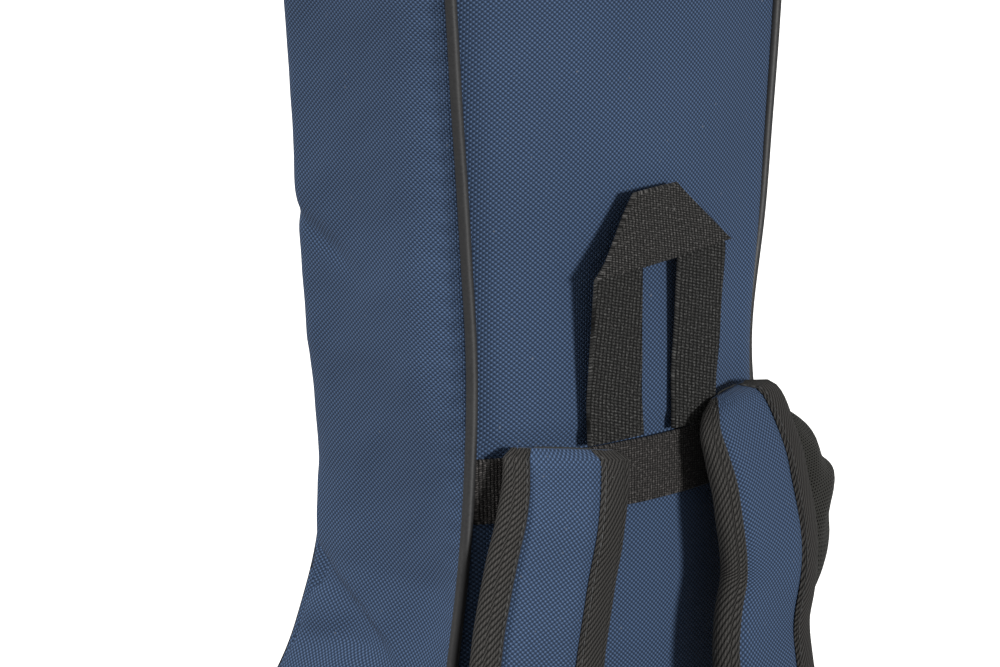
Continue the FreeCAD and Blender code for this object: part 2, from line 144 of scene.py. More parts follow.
class MeshParts:
    """Collects grids and small solids, in millimetres, and makes one object of them."""

    def __init__(self) -> None:
        """Start with nothing."""
        self.points: list[np.ndarray] = []
        self.faces: list[np.ndarray] = []
        self.uvs: list[np.ndarray] = []
        self.slots: list[np.ndarray] = []
        self.count = 0

    def grid(self, points: np.ndarray, uv: np.ndarray, closed: tuple[bool, bool] = (False, False),
             away: np.ndarray | None = None, slot: int = 0) -> None:
        """Add a surface given by a grid of points.

        Args:
            points: (rows, columns, 3).
            uv: (rows + 1 if closed, columns + 1 if closed, 2), in metres.
            closed: whether the last row or column joins the first.
            away: a point that the faces look away from; the middle of the points if left out.
            slot: material number.
        """
        rows, cols = points.shape[:2]
        i, j = np.meshgrid(
            np.arange(rows - (not closed[0])), np.arange(cols - (not closed[1])), indexing="ij"
        )
        i, j = i.ravel(), j.ravel()
        corners = [(i, j), (i + 1, j), (i + 1, j + 1), (i, j + 1)]
        quads = np.stack([(a % rows) * cols + (b % cols) for a, b in corners], 1)
        quad_uv = np.stack([uv[a, b] for a, b in corners], 1)
        self.raw(points.reshape(-1, 3), quads, quad_uv, away, slot)

    def raw(self, points: np.ndarray, quads: np.ndarray, quad_uv: np.ndarray | None = None,
            away: np.ndarray | None = None, slot: int = 0) -> None:
        """Add points and four-cornered faces, turned so that together they look away from a point."""
        points = np.asarray(points, float)
        if quad_uv is None:
            quad_uv = np.zeros((len(quads), 4, 2))
        if self._inward(points, quads, away):
            quads, quad_uv = quads[:, ::-1], quad_uv[:, ::-1]
        self.points.append(points)
        self.faces.append(np.asarray(quads) + self.count)
        self.uvs.append(quad_uv)
        self.slots.append(np.full(len(quads), slot))
        self.count += len(points)

    @staticmethod
    def _inward(points: np.ndarray, quads: np.ndarray, away: np.ndarray | None) -> bool:
        """Whether the faces look towards the point: the sum of (middle - point) . normal is below 0."""
        corner = points[quads]
        middle = corner.mean(1) - (points.mean(0) if away is None else np.asarray(away, float))
        normal = np.cross(corner[:, 2] - corner[:, 0], corner[:, 3] - corner[:, 1])
        return float((middle * normal).sum()) < 0

    def copies(self, points: np.ndarray, quads: np.ndarray, places: np.ndarray, axes: np.ndarray,
               slot: int = 0) -> None:
        """Add one small solid at many places.

        Args:
            points: (n, 3) the solid's own points.
            quads: its faces.
            places: (m, 3) where its origin goes.
            axes: (m, 3, 3) rows are the solid's x, y and z directions there.
            slot: material number.
        """
        moved = np.einsum("nk,mkc->mnc", points, axes) + places[:, None, :]
        if self._inward(moved[0], quads, None):
            quads = quads[:, ::-1]
        self.points.extend(moved)
        shifted = quads[None] + (np.arange(len(places)) * len(points))[:, None, None] + self.count
        self.faces.append(shifted.reshape(-1, 4))
        self.uvs.append(np.zeros((len(places) * len(quads), 4, 2)))
        self.slots.append(np.full(len(places) * len(quads), slot))
        self.count += len(places) * len(points)

    def build(self, name: str, *finishes: str, merge: float = 0.0) -> bpy.types.Object:
        """Make the object.

        Args:
            name: its name.
            finishes: what its material slots hold.
            merge: join points closer than this, in millimetres.

        Returns:
            The new object, at the origin.
        """
        points = np.vstack(self.points) * MM
        quads = np.vstack(self.faces)
        uvs = np.vstack(self.uvs)
        slots = np.concatenate(self.slots)
        mesh = bpy.data.meshes.new(name)
        mesh.vertices.add(len(points))
        mesh.vertices.foreach_set("co", points.astype(np.float32).ravel())
        keep = np.stack([quads[:, k] != quads[:, k - 1] for k in range(4)], 1)
        sizes = keep.sum(1)
        mesh.loops.add(int(sizes.sum()))
        mesh.loops.foreach_set("vertex_index", quads[keep].astype(np.int32))
        mesh.polygons.add(len(quads))
        starts = np.concatenate([[0], np.cumsum(sizes)[:-1]])
        mesh.polygons.foreach_set("loop_start", starts.astype(np.int32))
        mesh.polygons.foreach_set("material_index", slots.astype(np.int32))
        layer = mesh.uv_layers.new(name="cloth")
        layer.data.foreach_set("uv", uvs[keep].astype(np.float32).ravel())
        mesh.update(calc_edges=True)
        mesh.polygons.foreach_set("use_smooth", np.ones(len(quads), bool))
        for finish in finishes:
            mesh.materials.append(FINISH[finish])
        self._clean(mesh, merge * MM)
        return put(name, mesh)

    @staticmethod
    def _clean(mesh: bpy.types.Mesh, distance: float) -> None:
        """Join doubled points, if asked, and drop faces that have no area."""
        mesh.validate(clean_customdata=False)
        if distance:
            work = bmesh.new()
            work.from_mesh(mesh)
            bmesh.ops.remove_doubles(work, verts=work.verts, dist=distance)
            bmesh.ops.dissolve_degenerate(work, edges=work.edges, dist=distance * 0.1)
            work.to_mesh(mesh)
            work.free()


def at_y(flat: np.ndarray, y: np.ndarray | float) -> np.ndarray:
    """Points x, y, z from points x, z."""
    return np.stack([flat[..., 0], np.broadcast_to(y, flat.shape[:-1]), flat[..., 1]], -1)


def metric_uv(rows: np.ndarray, cols: np.ndarray) -> np.ndarray:
    """Cloth coordinates in metres from two lists of distances in millimetres."""
    u, v = np.meshgrid(rows, cols, indexing="ij")
    return np.stack([v, u], -1) * MM


def closed_uv(x: np.ndarray, z: np.ndarray) -> np.ndarray:
    """Cloth coordinates in metres of a grid seen from the front, its first row given again at the end."""
    return np.stack([np.vstack([x, x[:1]]), np.vstack([z, z[:1]])], -1) * MM


def block(size: tuple[float, float, float], bevel: float = 0.25) -> tuple[np.ndarray, np.ndarray]:
    """A small box with cut edges: each face is an inset square, joined by edge and corner faces.

    Returns:
        Its points and faces, centred on the origin.
    """
    half = np.array(size) / 2
    cut = np.minimum(bevel, half * 0.8)
    points, index = [], {}
    for sign in product((-1, 1), repeat=3):
        for axis in range(3):
            corner = np.array(sign) * (half - cut)
            corner[axis] = sign[axis] * half[axis]
            index[(*sign, axis)] = len(points)
            points.append(corner)
    quads = []
    for axis in range(3):
        a, b = [k for k in range(3) if k != axis]
        for side in (-1, 1):
            face = []
            for sa, sb in ((-1, -1), (1, -1), (1, 1), (-1, 1)):
                sign = [0, 0, 0]
                sign[axis], sign[a], sign[b] = side, sa, sb
                face.append(index[(*sign, axis)])
            quads.append(face)
        for sa, sb in product((-1, 1), repeat=2):
            ends = []
            for side in (-1, 1):
                sign = [0, 0, 0]
                sign[axis], sign[a], sign[b] = side, sa, sb
                ends.append((index[(*sign, a)], index[(*sign, b)]))
            quads.append([ends[0][0], ends[0][1], ends[1][1], ends[1][0]])
    for sign in product((-1, 1), repeat=3):
        a, b, c = (index[(*sign, axis)] for axis in range(3))
        quads.append([a, b, c, c])
    points, quads = np.array(points), np.array(quads)
    centre = points[quads].mean(1)
    normal = np.cross(points[quads[:, 2]] - points[quads[:, 0]], points[quads[:, 3]] - points[quads[:, 1]])
    wrong = (normal * centre).sum(1) < 0
    quads[wrong] = quads[wrong][:, ::-1]
    return points, quads


def capsule(length: float, radius: float, flat: float = 0.7,
            sides: int = 6) -> tuple[np.ndarray, np.ndarray]:
    """A stitch: a short rounded bar along x, squeezed by flat along z."""
    stops = np.array([-0.5, -0.38, 0.0, 0.38, 0.5])
    swell = np.array([0.15, 0.85, 1.0, 0.85, 0.15])
    angle = np.linspace(0, TAU, sides, endpoint=False)
    ring = np.stack([np.zeros(sides), np.cos(angle), np.sin(angle) * flat], 1)
    points = np.vstack([ring * radius * s + [length * t, 0, 0] for s, t in zip(swell, stops)])
    i, j = np.meshgrid(np.arange(len(stops) - 1), np.arange(sides), indexing="ij")
    i, j = i.ravel(), j.ravel()
    k = (j + 1) % sides
    quads = np.stack([i * sides + j, (i + 1) * sides + j, (i + 1) * sides + k, i * sides + k], 1)
    return points, quads


def basis_along(path: np.ndarray, normals: np.ndarray) -> np.ndarray:
    """At each point of a path: rows are forward, across and outward directions."""
    forward = unit(np.gradient(path, axis=0))
    across = unit(np.cross(normals, forward))
    outward = np.cross(forward, across)
    return np.stack([forward, across, outward], 1)


def stitch_row(parts: MeshParts, path: np.ndarray, normals: np.ndarray, pitch: float = 3.2,
               thread: float = 0.42, slot: int = 0, lift: float = 0.12) -> None:
    """Lay stitches along a path: bars 70% of the pitch long, half sunk in the cloth."""
    along = lengths_along(path)
    spots = np.arange(pitch / 2, along[-1], pitch)
    at = sampled(path, along, spots)
    up = unit(sampled(normals, along, spots))
    ahead = sampled(path, along, spots + 0.5) - at
    behind = at - sampled(path, along, spots - 0.5)
    forward = unit(ahead + behind)
    across = unit(np.cross(up, forward))
    axes = np.stack([forward, across, np.cross(forward, across)], 1)
    points, quads = capsule(pitch * 0.72, thread)
    parts.copies(points, quads, at + up * lift, axes, slot)


def tube(parts: MeshParts, path: np.ndarray, normals: np.ndarray, radius: float, sides: int,
         slot: int = 0) -> None:
    """A round bar along a path that joins up with its start."""
    forward = unit(np.roll(path, -1, 0) - np.roll(path, 1, 0))
    across = unit(np.cross(normals, forward))
    outward = np.cross(forward, across)
    angle = np.linspace(0, TAU, sides, endpoint=False)
    ring = across[:, None] * np.cos(angle)[None, :, None] + outward[:, None] * np.sin(angle)[None, :, None]
    along = lengths_along(np.vstack([path, path[:1]]))
    uv = metric_uv(along, np.linspace(0, TAU * radius, sides + 1))
    parts.grid(path[:, None] + ring * radius, uv, (True, True), slot=slot)


def ribbon(parts: MeshParts, path: np.ndarray, normals: np.ndarray, width: float, thick: float,
           columns: int = 9) -> None:
    """A flat band along a path; its section is a flattened loop with round edges."""
    axes = basis_along(path, normals)
    face = np.linspace(-1, 1, columns)
    turn = np.linspace(-0.5, 0.5, 5)[1:-1] * math.pi
    half = thick / 2
    place = np.concatenate([face, 1 + 0 * turn, face[::-1], -1 + 0 * turn])
    out = np.concatenate([half + 0 * face, -np.sin(turn) * half, -half + 0 * face, np.sin(turn) * half])
    bulge = np.concatenate([0 * face, np.cos(turn) * half, 0 * face, -np.cos(turn) * half])
    across = place * (width / 2 - half) + bulge
    points = path[:, None] + axes[:, None, 1] * across[:, None] + axes[:, None, 2] * out[:, None]
    parts.grid(points, metric_uv(lengths_along(path), np.append(across, across[0])), (False, True))
    middle = points[len(points) // 2].mean(0)
    for end in (0, -1):
        cap(parts, points[end], middle)


def cap(parts: MeshParts, loop: np.ndarray, away: np.ndarray) -> None:
    """Close a ring of points with a fan of triangles round its middle."""
    count = len(loop)
    k = np.arange(count)
    quads = np.stack([k, (k + 1) % count, np.full(count, count), np.full(count, count)], 1)
    parts.raw(np.vstack([loop, loop.mean(0)]), quads, away=away)


# Materials --------------------------------------------------------------------------------------

def preset(node: bpy.types.Node, values: dict[str, object]) -> None:
    """Set a node's inputs by name."""
    for key, value in values.items():
        node.inputs[key].default_value = value


class Nodes:
    """Short names for adding and joining shader nodes in one tree."""

    def __init__(self, tree: bpy.types.NodeTree) -> None:
        """Work on this tree."""
        self.tree = tree

    def add(self, kind: str, **settings: object) -> bpy.types.Node:
        """A node of a kind, with its properties set."""
        node = self.tree.nodes.new(kind)
        for key, value in settings.items():
            setattr(node, key, value)
        return node

    def join(self, source: object, target: bpy.types.NodeSocket) -> None:
        """Feed a socket from another socket, or set its value."""
        if isinstance(source, bpy.types.NodeSocket):
            self.tree.links.new(source, target)
        else:
            target.default_value = source

    def math(self, operation: str, a: object, b: object = 0.0, c: object = 0.0) -> bpy.types.NodeSocket:
        """One step of arithmetic."""
        node = self.add("ShaderNodeMath", operation=operation)
        for source, target in zip((a, b, c), node.inputs):
            self.join(source, target)
        return node.outputs[0]

    def times(self, a: object, b: object) -> bpy.types.NodeSocket:
        """The product of two numbers."""
        return self.math("MULTIPLY", a, b)

    def plus(self, a: object, b: object) -> bpy.types.NodeSocket:
        """The sum of two numbers."""
        return self.math("ADD", a, b)

    def ridge(self, turns: object) -> bpy.types.NodeSocket:
        """|sin(pi x)|, one rounded rib for every whole number."""
        return self.math("ABSOLUTE", self.math("SINE", self.times(turns, math.pi)))

    def bump(self, height: object, distance: float, shader: bpy.types.Node) -> None:
        """Relief of a shader, in metres."""
        node = self.add("ShaderNodeBump")
        preset(node, {"Distance": distance, "Strength": 1.0})
        self.join(height, node.inputs["Height"])
        self.join(node.outputs["Normal"], shader.inputs["Normal"])

    def mix(self, factor: object, a: object, b: object) -> bpy.types.NodeSocket:
        """A colour between two colours."""
        node = self.add("ShaderNodeMix", data_type="RGBA")
        self.join(factor, node.inputs["Factor"])
        self.join(a, node.inputs["A"])
        self.join(b, node.inputs["B"])
        return node.outputs["Result"]

    def noise(self, vector: object, scale: float, detail: float = 2.0) -> bpy.types.NodeSocket:
        """Soft noise, 0 to 1."""
        node = self.add("ShaderNodeTexNoise")
        self.join(vector, node.inputs["Vector"])
        preset(node, {"Scale": scale, "Detail": detail})
        return node.outputs["Fac"]

    def spread(self, value: object, low: float, high: float, to_low: float = 0.0,
               to_high: float = 1.0) -> bpy.types.NodeSocket:
        """Stretch a value from one range to another, kept inside it."""
        node = self.add("ShaderNodeMapRange")
        self.join(value, node.inputs["Value"])
        preset(node, {"From Min": low, "From Max": high, "To Min": to_low, "To Max": to_high})
        return node.outputs["Result"]

    def apart(self, vector: object) -> tuple[bpy.types.NodeSocket, ...]:
        """The x, y and z of a vector."""
        node = self.add("ShaderNodeSeparateXYZ")
        self.join(vector, node.inputs[0])
        return tuple(node.outputs)


def new_material(name: str) -> tuple[bpy.types.Material, Nodes, bpy.types.Node]:
    """A material, the helper for its nodes and its shader."""
    made = bpy.data.materials.new(name)
    made.use_nodes = True
    return made, Nodes(made.node_tree), made.node_tree.nodes["Principled BSDF"]


def group_shell(name: str, inputs: dict[str, float | None], outputs: tuple[str, ...]) -> tuple:
    """An empty shader group with named sockets.

    Args:
        name: the group's name.
        inputs: socket name to default number, or None for a vector.
        outputs: names of the numbers it gives.

    Returns:
        The group, its helper, its input node and its output node.
    """
    tree = bpy.data.node_groups.new(name, "ShaderNodeTree")
    for key, default in inputs.items():
        kind = "NodeSocketVector" if default is None else "NodeSocketFloat"
        socket = tree.interface.new_socket(key, in_out="INPUT", socket_type=kind)
        if default is not None:
            socket.default_value = default
    for key in outputs:
        tree.interface.new_socket(key, in_out="OUTPUT", socket_type="NodeSocketFloat")
    nodes = Nodes(tree)
    return tree, nodes, nodes.add("NodeGroupInput"), nodes.add("NodeGroupOutput")


class Effects:
    """Shader groups shared by the materials; each is made once, when first asked for."""

    def __init__(self) -> None:
        """Start with none made."""
        self.made: dict[str, bpy.types.NodeTree] = {}

    def get(self, name: str) -> bpy.types.NodeTree:
        """The group of that name."""
        if name not in self.made:
            self.made[name] = getattr(self, f"_{name}")()
        return self.made[name]

    @staticmethod
    def _plain_weave() -> bpy.types.NodeTree:
        """Over-and-under weave.

        Height is |sin(pi u)| where a lengthwise thread is on top and |sin(pi v)| where a crosswise one
        is; which is on top follows the sign of sin(pi u) sin(pi v). Tone is painted light and shade: a
        painted highlight makes the lengthwise floats lighter than the crosswise ones, and painted shade
        darkens the thread edges between them.
        """
        tree, n, given, result = group_shell(
            "plain_weave",
            {"Vector": None, "Pitch Across": 0.001, "Pitch Along": 0.0009, "Unevenness": 0.25},
            ("Tone", "Height"),
        )
        x, y, _ = n.apart(given.outputs["Vector"])
        wander = n.noise(given.outputs["Vector"], 90.0, 1.0)
        drift = n.times(n.math("SUBTRACT", wander, 0.5), given.outputs["Unevenness"])
        u = n.plus(n.math("DIVIDE", x, given.outputs["Pitch Across"]), drift)
        v = n.plus(n.math("DIVIDE", y, given.outputs["Pitch Along"]), drift)
        su = n.math("SINE", n.times(u, math.pi))
        sv = n.math("SINE", n.times(v, math.pi))
        checker = n.times(su, sv)
        on_top = n.spread(checker, -0.25, 0.25)
        warp = n.math("ABSOLUTE", su)
        weft = n.math("ABSOLUTE", sv)
        over = n.times(on_top, warp)
        under = n.times(n.math("SUBTRACT", 1.0, on_top), weft)
        height = n.plus(over, under)
        # Painted shade and highlight: tone falls where gap nears 0 at the thread edges and rises with checker
        # on the lengthwise floats.
        gap = n.times(warp, weft)
        tone = n.math("MULTIPLY_ADD", checker, 0.5, n.math("MULTIPLY_ADD", gap, 0.22, 0.40))
        n.join(tone, result.inputs["Tone"])
        n.join(height, result.inputs["Height"])
        return tree

    @staticmethod
    def _twill() -> bpy.types.NodeTree:
        """Herringbone tape: ribs slant one way on one half and the other way on the other half.

        Phase is y / rib + slant |x| / rib; each rib is |sin|, broken by a fine beat along it. Tone follows
        the rib: painted highlight on its top, painted shade in the grooves, and pale random flecks.
        """
        tree, n, given, result = group_shell(
            "twill",
            {"Vector": None, "Rib": 0.0012, "Slant": 1.2, "Fold": 0.0},
            ("Tone", "Height"),
        )
        x, y, _ = n.apart(given.outputs["Vector"])
        side = n.math("ABSOLUTE", n.math("SUBTRACT", x, given.outputs["Fold"]))
        slanted = n.math("MULTIPLY_ADD", side, given.outputs["Slant"], y)
        phase = n.math("DIVIDE", slanted, given.outputs["Rib"])
        rib = n.ridge(phase)
        beat = n.math("ABSOLUTE", n.math("SINE", n.math("DIVIDE", x, 0.00026)))
        fleck = n.noise(given.outputs["Vector"], 1500.0, 1.0)
        # Painted highlight on the rib tops and painted shade in the grooves between them.
        light = n.times(rib, n.math("MULTIPLY_ADD", beat, 0.55, 0.3))
        tone = n.plus(light, n.spread(fleck, 0.6, 0.8, 0.0, 0.35))
        n.join(tone, result.inputs["Tone"])
        n.join(n.math("MULTIPLY_ADD", beat, 0.25, rib), result.inputs["Height"])
        return tree

    @staticmethod
    def _webbing() -> bpy.types.NodeTree:
        """Belt webbing: rows of fat stitches in lengthwise ribs, each row half a step on from the last.

        A rib is |sin(pi x / rib)|; along it the stitches are |sin(pi v)|, where v is y / step plus half of
        the rib's number, plus a slant across the rib. Tone rises with height, so the low places between
        stitches and ribs carry painted shade, and scattered specks on the raised stitches are painted glints.
        """
        tree, n, given, result = group_shell(
            "webbing",
            {"Vector": None, "Rib": 0.0016, "Step": 0.0011, "Glints": 1.2},
            ("Tone", "Height"),
        )
        x, y, _ = n.apart(given.outputs["Vector"])
        u = n.math("DIVIDE", x, given.outputs["Rib"])
        rib = n.ridge(u)
        number = n.math("FLOOR", u)
        slant = n.times(n.math("FRACT", u), 0.55)
        v = n.plus(n.math("DIVIDE", y, given.outputs["Step"]), n.math("MULTIPLY_ADD", number, 0.5, slant))
        stitch = n.ridge(v)
        height = n.times(n.math("POWER", rib, 0.6), n.math("MULTIPLY_ADD", stitch, 0.7, 0.3))
        fleck = n.noise(given.outputs["Vector"], 1100.0, 1.0)
        glint = n.times(n.spread(fleck, 0.52, 0.74), given.outputs["Glints"])
        deep = n.math("POWER", height, 1.6)
        # Painted shade in the low places, and painted glint highlights on the raised stitches.
        n.join(n.math("MULTIPLY_ADD", glint, height, n.times(deep, 0.42)), result.inputs["Tone"])
        n.join(height, result.inputs["Height"])
        return tree

    @staticmethod
    def _mesh_cloth() -> bpy.types.NodeTree:
        """Air mesh: rows of round holes, every other row half a step on; painted shade darkens the holes."""
        tree, n, given, result = group_shell(
            "mesh_cloth",
            {"Vector": None, "Pitch": 0.0024},
            ("Tone", "Height"),
        )
        x, y, _ = n.apart(given.outputs["Vector"])
        row = n.math("DIVIDE", y, given.outputs["Pitch"])
        shift = n.times(n.math("MODULO", n.math("FLOOR", row), 2.0), 0.5)
        column = n.plus(n.math("DIVIDE", x, given.outputs["Pitch"]), shift)
        dx = n.math("SUBTRACT", n.math("FRACT", column), 0.5)
        dy = n.math("SUBTRACT", n.math("FRACT", row), 0.5)
        away = n.math("SQRT", n.plus(n.times(dx, dx), n.times(dy, dy)))
        rim = n.spread(away, 0.22, 0.38)
        # Painted shade: the holes are darkest, the rims between them lightest.
        n.join(rim, result.inputs["Tone"])
        n.join(rim, result.inputs["Height"])
        return tree

    @staticmethod
    def _handled() -> bpy.types.NodeTree:
        """Signs of use: broad uneven tone, and faint pale lint in scattered specks."""
        tree, n, given, result = group_shell(
            "handled",
            {"Vector": None, "Lint": 0.5},
            ("Shade", "Lint"),
        )
        broad = n.noise(given.outputs["Vector"], 9.0, 3.0)
        fine = n.noise(given.outputs["Vector"], 420.0, 2.0)
        specks = n.times(n.spread(fine, 0.74, 0.8), given.outputs["Lint"])
        n.join(n.spread(broad, 0.3, 0.7, 0.92, 1.08), result.inputs["Shade"])
        n.join(specks, result.inputs["Lint"])
        return tree


EFFECTS = Effects()


class Cloth(Enum):
    """Which weave a woven finish shows."""

    PLAIN = "plain_weave"
    TWILL = "twill"
    WEBBING = "webbing"
    MESH = "mesh_cloth"


@dataclass(frozen=True)
class WovenFinish:
    """A cloth: its painted-shade colour (dark) and painted-lit thread colour (light), weave and how it
    catches light.
    """

    name: str
    weave: Cloth
    dark: tuple[float, float, float]
    light: tuple[float, float, float]
    settings: tuple[tuple[str, float], ...] = ()
    roughness: float = 0.75
    sheen: float = 0.2
    relief: float = 0.0002
    lint: float = 0.3

    def material(self) -> bpy.types.Material:
        """Build it: the weave sets the tone (painted shade and highlight between the two colours), roughness
        and relief, on the piece's own cloth coordinates.
        """
        made, n, shader = new_material(self.name)
        cloth = n.add("ShaderNodeUVMap", uv_map="cloth").outputs["UV"]
        weave = n.add("ShaderNodeGroup", node_tree=EFFECTS.get(self.weave.value))
        n.join(cloth, weave.inputs["Vector"])
        preset(weave, dict(self.settings))
        place = n.add("ShaderNodeTexCoord").outputs["Object"]
        used = n.add("ShaderNodeGroup", node_tree=EFFECTS.get("handled"))
        n.join(place, used.inputs["Vector"])
        used.inputs["Lint"].default_value = self.lint
        # Painted shade and highlight: the weave's tone mixes the near-black shade colour with the lit thread
        # colour.
        thread = n.mix(weave.outputs["Tone"], (*self.dark, 1), (*self.light, 1))
        shaded = n.add("ShaderNodeMix", data_type="RGBA", blend_type="MULTIPLY")
        shaded.inputs["Factor"].default_value = 1.0
        n.join(thread, shaded.inputs["A"])
        n.join(used.outputs["Shade"], shaded.inputs["B"])
        dusty = n.mix(used.outputs["Lint"], shaded.outputs["Result"], (0.32, 0.32, 0.31, 1))
        n.join(dusty, shader.inputs["Base Color"])
        deep, raised = min(1.0, self.roughness + 0.15), self.roughness - 0.08
        rough = n.spread(weave.outputs["Height"], 0.0, 1.0, deep, raised)
        n.join(rough, shader.inputs["Roughness"])
        n.bump(weave.outputs["Height"], self.relief, shader)
        preset(shader, {"Sheen Weight": self.sheen, "Sheen Roughness": 0.45, "Specular IOR Level": 0.12})
        return made


@dataclass(frozen=True)
class MouldedFinish:
    """Plastic, rubber, foam or painted metal: base colour, grain and polish."""

    name: str
    colour: tuple[float, float, float]
    worn: tuple[float, float, float]
    roughness: float = 0.5
    grain: float = 600.0
    relief: float = 0.00008
    metallic: float = 0.0
    coat: float = 0.0
    wear: float = 0.3

    def material(self) -> bpy.types.Material:
        """Build it: noise gives grain, a broader noise mixes in the worn colour."""
        made, n, shader = new_material(self.name)
        place = n.add("ShaderNodeTexCoord").outputs["Object"]
        grain = n.noise(place, self.grain, 3.0)
        broad = n.noise(place, 55.0, 4.0)
        rubbed = n.times(n.spread(broad, 0.5, 0.72), self.wear)
        n.join(n.mix(rubbed, (*self.colour, 1), (*self.worn, 1)), shader.inputs["Base Color"])
        rough = n.spread(grain, 0.3, 0.7, self.roughness - 0.08, self.roughness + 0.1)
        n.join(rough, shader.inputs["Roughness"])
        n.bump(grain, self.relief, shader)
        preset(shader, {"Metallic": self.metallic, "Coat Weight": self.coat, "Coat Roughness": 0.2})
        return made


class Finishes:
    """Every material of the bag, built once."""

    # Each cloth's dark colour is the painted shade of its weave's low places and its light colour the
    # painted-lit thread.
    WOVEN = (
        WovenFinish("shell_blue", Cloth.PLAIN, (0.001, 0.003, 0.009), (0.075, 0.125, 0.230),
                    (("Pitch Across", 0.00104), ("Pitch Along", 0.00090)), 0.7, 0.04, 0.00025),
        WovenFinish("webbing_black", Cloth.WEBBING, (0.0005, 0.0005, 0.0005), (0.078, 0.078, 0.076),
                    (("Rib", 0.0020), ("Step", 0.0012)), 0.7, 0.03, 0.0004),
        # A lighter copy of the same webbing for the loop's folded top: its lighter tone is painted light
        # catching the fold.
        WovenFinish("webbing_fold_lit", Cloth.WEBBING, (0.0005, 0.0005, 0.0005), (0.106, 0.103, 0.100),
                    (("Rib", 0.0017), ("Step", 0.0009)), 0.7, 0.03, 0.0004),
        WovenFinish("band_grosgrain", Cloth.WEBBING, (0.001, 0.001, 0.001), (0.110, 0.103, 0.100),
                    (("Rib", 0.00135), ("Step", 0.0007)), 0.7, 0.03, 0.0003),
        WovenFinish("binding_tape", Cloth.TWILL, (0.0005, 0.0005, 0.0005), (0.062, 0.059, 0.056),
                    (("Rib", 0.0027), ("Slant", 1.7), ("Fold", -1.0)), 0.7, 0.03, 0.0005),
        WovenFinish("mesh_lining", Cloth.MESH, (0.001, 0.001, 0.001), (0.026, 0.026, 0.023),
                    (("Pitch", 0.0022),), 0.9, 0.1, 0.0004),
        WovenFinish("lining_grey", Cloth.PLAIN, (0.035, 0.036, 0.04), (0.16, 0.162, 0.17),
                    (("Pitch Across", 0.0006), ("Pitch Along", 0.0006)), 0.7, 0.3, 0.0001),
        WovenFinish("zip_tape", Cloth.TWILL, (0.008, 0.008, 0.009), (0.05, 0.05, 0.052),
                    (("Rib", 0.0009), ("Slant", 1.0)), 0.7, 0.2, 0.0001),
    )
    MOULDED = (
        MouldedFinish("welt_vinyl", (0.016, 0.016, 0.017), (0.03, 0.03, 0.029), 0.46, 900, 0.00003),
        MouldedFinish("zip_teeth", (0.012, 0.012, 0.013), (0.04, 0.04, 0.04), 0.35, 700, 0.00002),
        MouldedFinish("zip_metal", (0.02, 0.02, 0.022), (0.25, 0.24, 0.23), 0.33, 800, 0.00002,
                      metallic=0.85, coat=0.3, wear=0.35),
        MouldedFinish("buckle_plastic", (0.014, 0.014, 0.014), (0.035, 0.035, 0.035), 0.5, 1200, 0.00006),
        MouldedFinish("grip_rubber", (0.016, 0.016, 0.017), (0.04, 0.04, 0.04), 0.62, 500, 0.0002),
        MouldedFinish("base_rubber", (0.018, 0.018, 0.019), (0.06, 0.06, 0.058), 0.7, 260, 0.0004),
        MouldedFinish("padding", (0.22, 0.22, 0.225), (0.30, 0.30, 0.30), 0.9, 480, 0.0004),
        MouldedFinish("thread_black", (0.02, 0.02, 0.02), (0.06, 0.06, 0.06), 0.6, 900, 0.00003),
    )

    def __init__(self) -> None:
        """Build them all."""
        self.made = {finish.name: finish.material() for finish in (*self.WOVEN, *self.MOULDED)}

    def __getitem__(self, name: str) -> bpy.types.Material:
        """The material of that name."""
        return self.made[name]


FINISH = Finishes()


def credit(piece: bpy.types.Object, nodes: tuple[str, ...]) -> None:
    """Hide the nodes that a settled piece stands for, and log its face count."""
    if nodes:
        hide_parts(*nodes)
    LOG.info("%s: %d faces", piece.name, len(piece.data.polygons))


def settle(piece: bpy.types.Object, body: str, slot: str, *nodes: str) -> None:
    """Let a finished piece ride on a body, in place of the nodes."""
    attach(piece, body)
    credit(piece, nodes)


def settle_between(piece: bpy.types.Object, bodies: tuple[str, str], start: np.ndarray, end: np.ndarray,
                   slot: str, *nodes: str) -> None:
    """Bake a finished piece's placement into its mesh, and hide the nodes it stands for."""
    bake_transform(piece)
    credit(piece, nodes)


# Shape of the bag -------------------------------------------------------------------------------

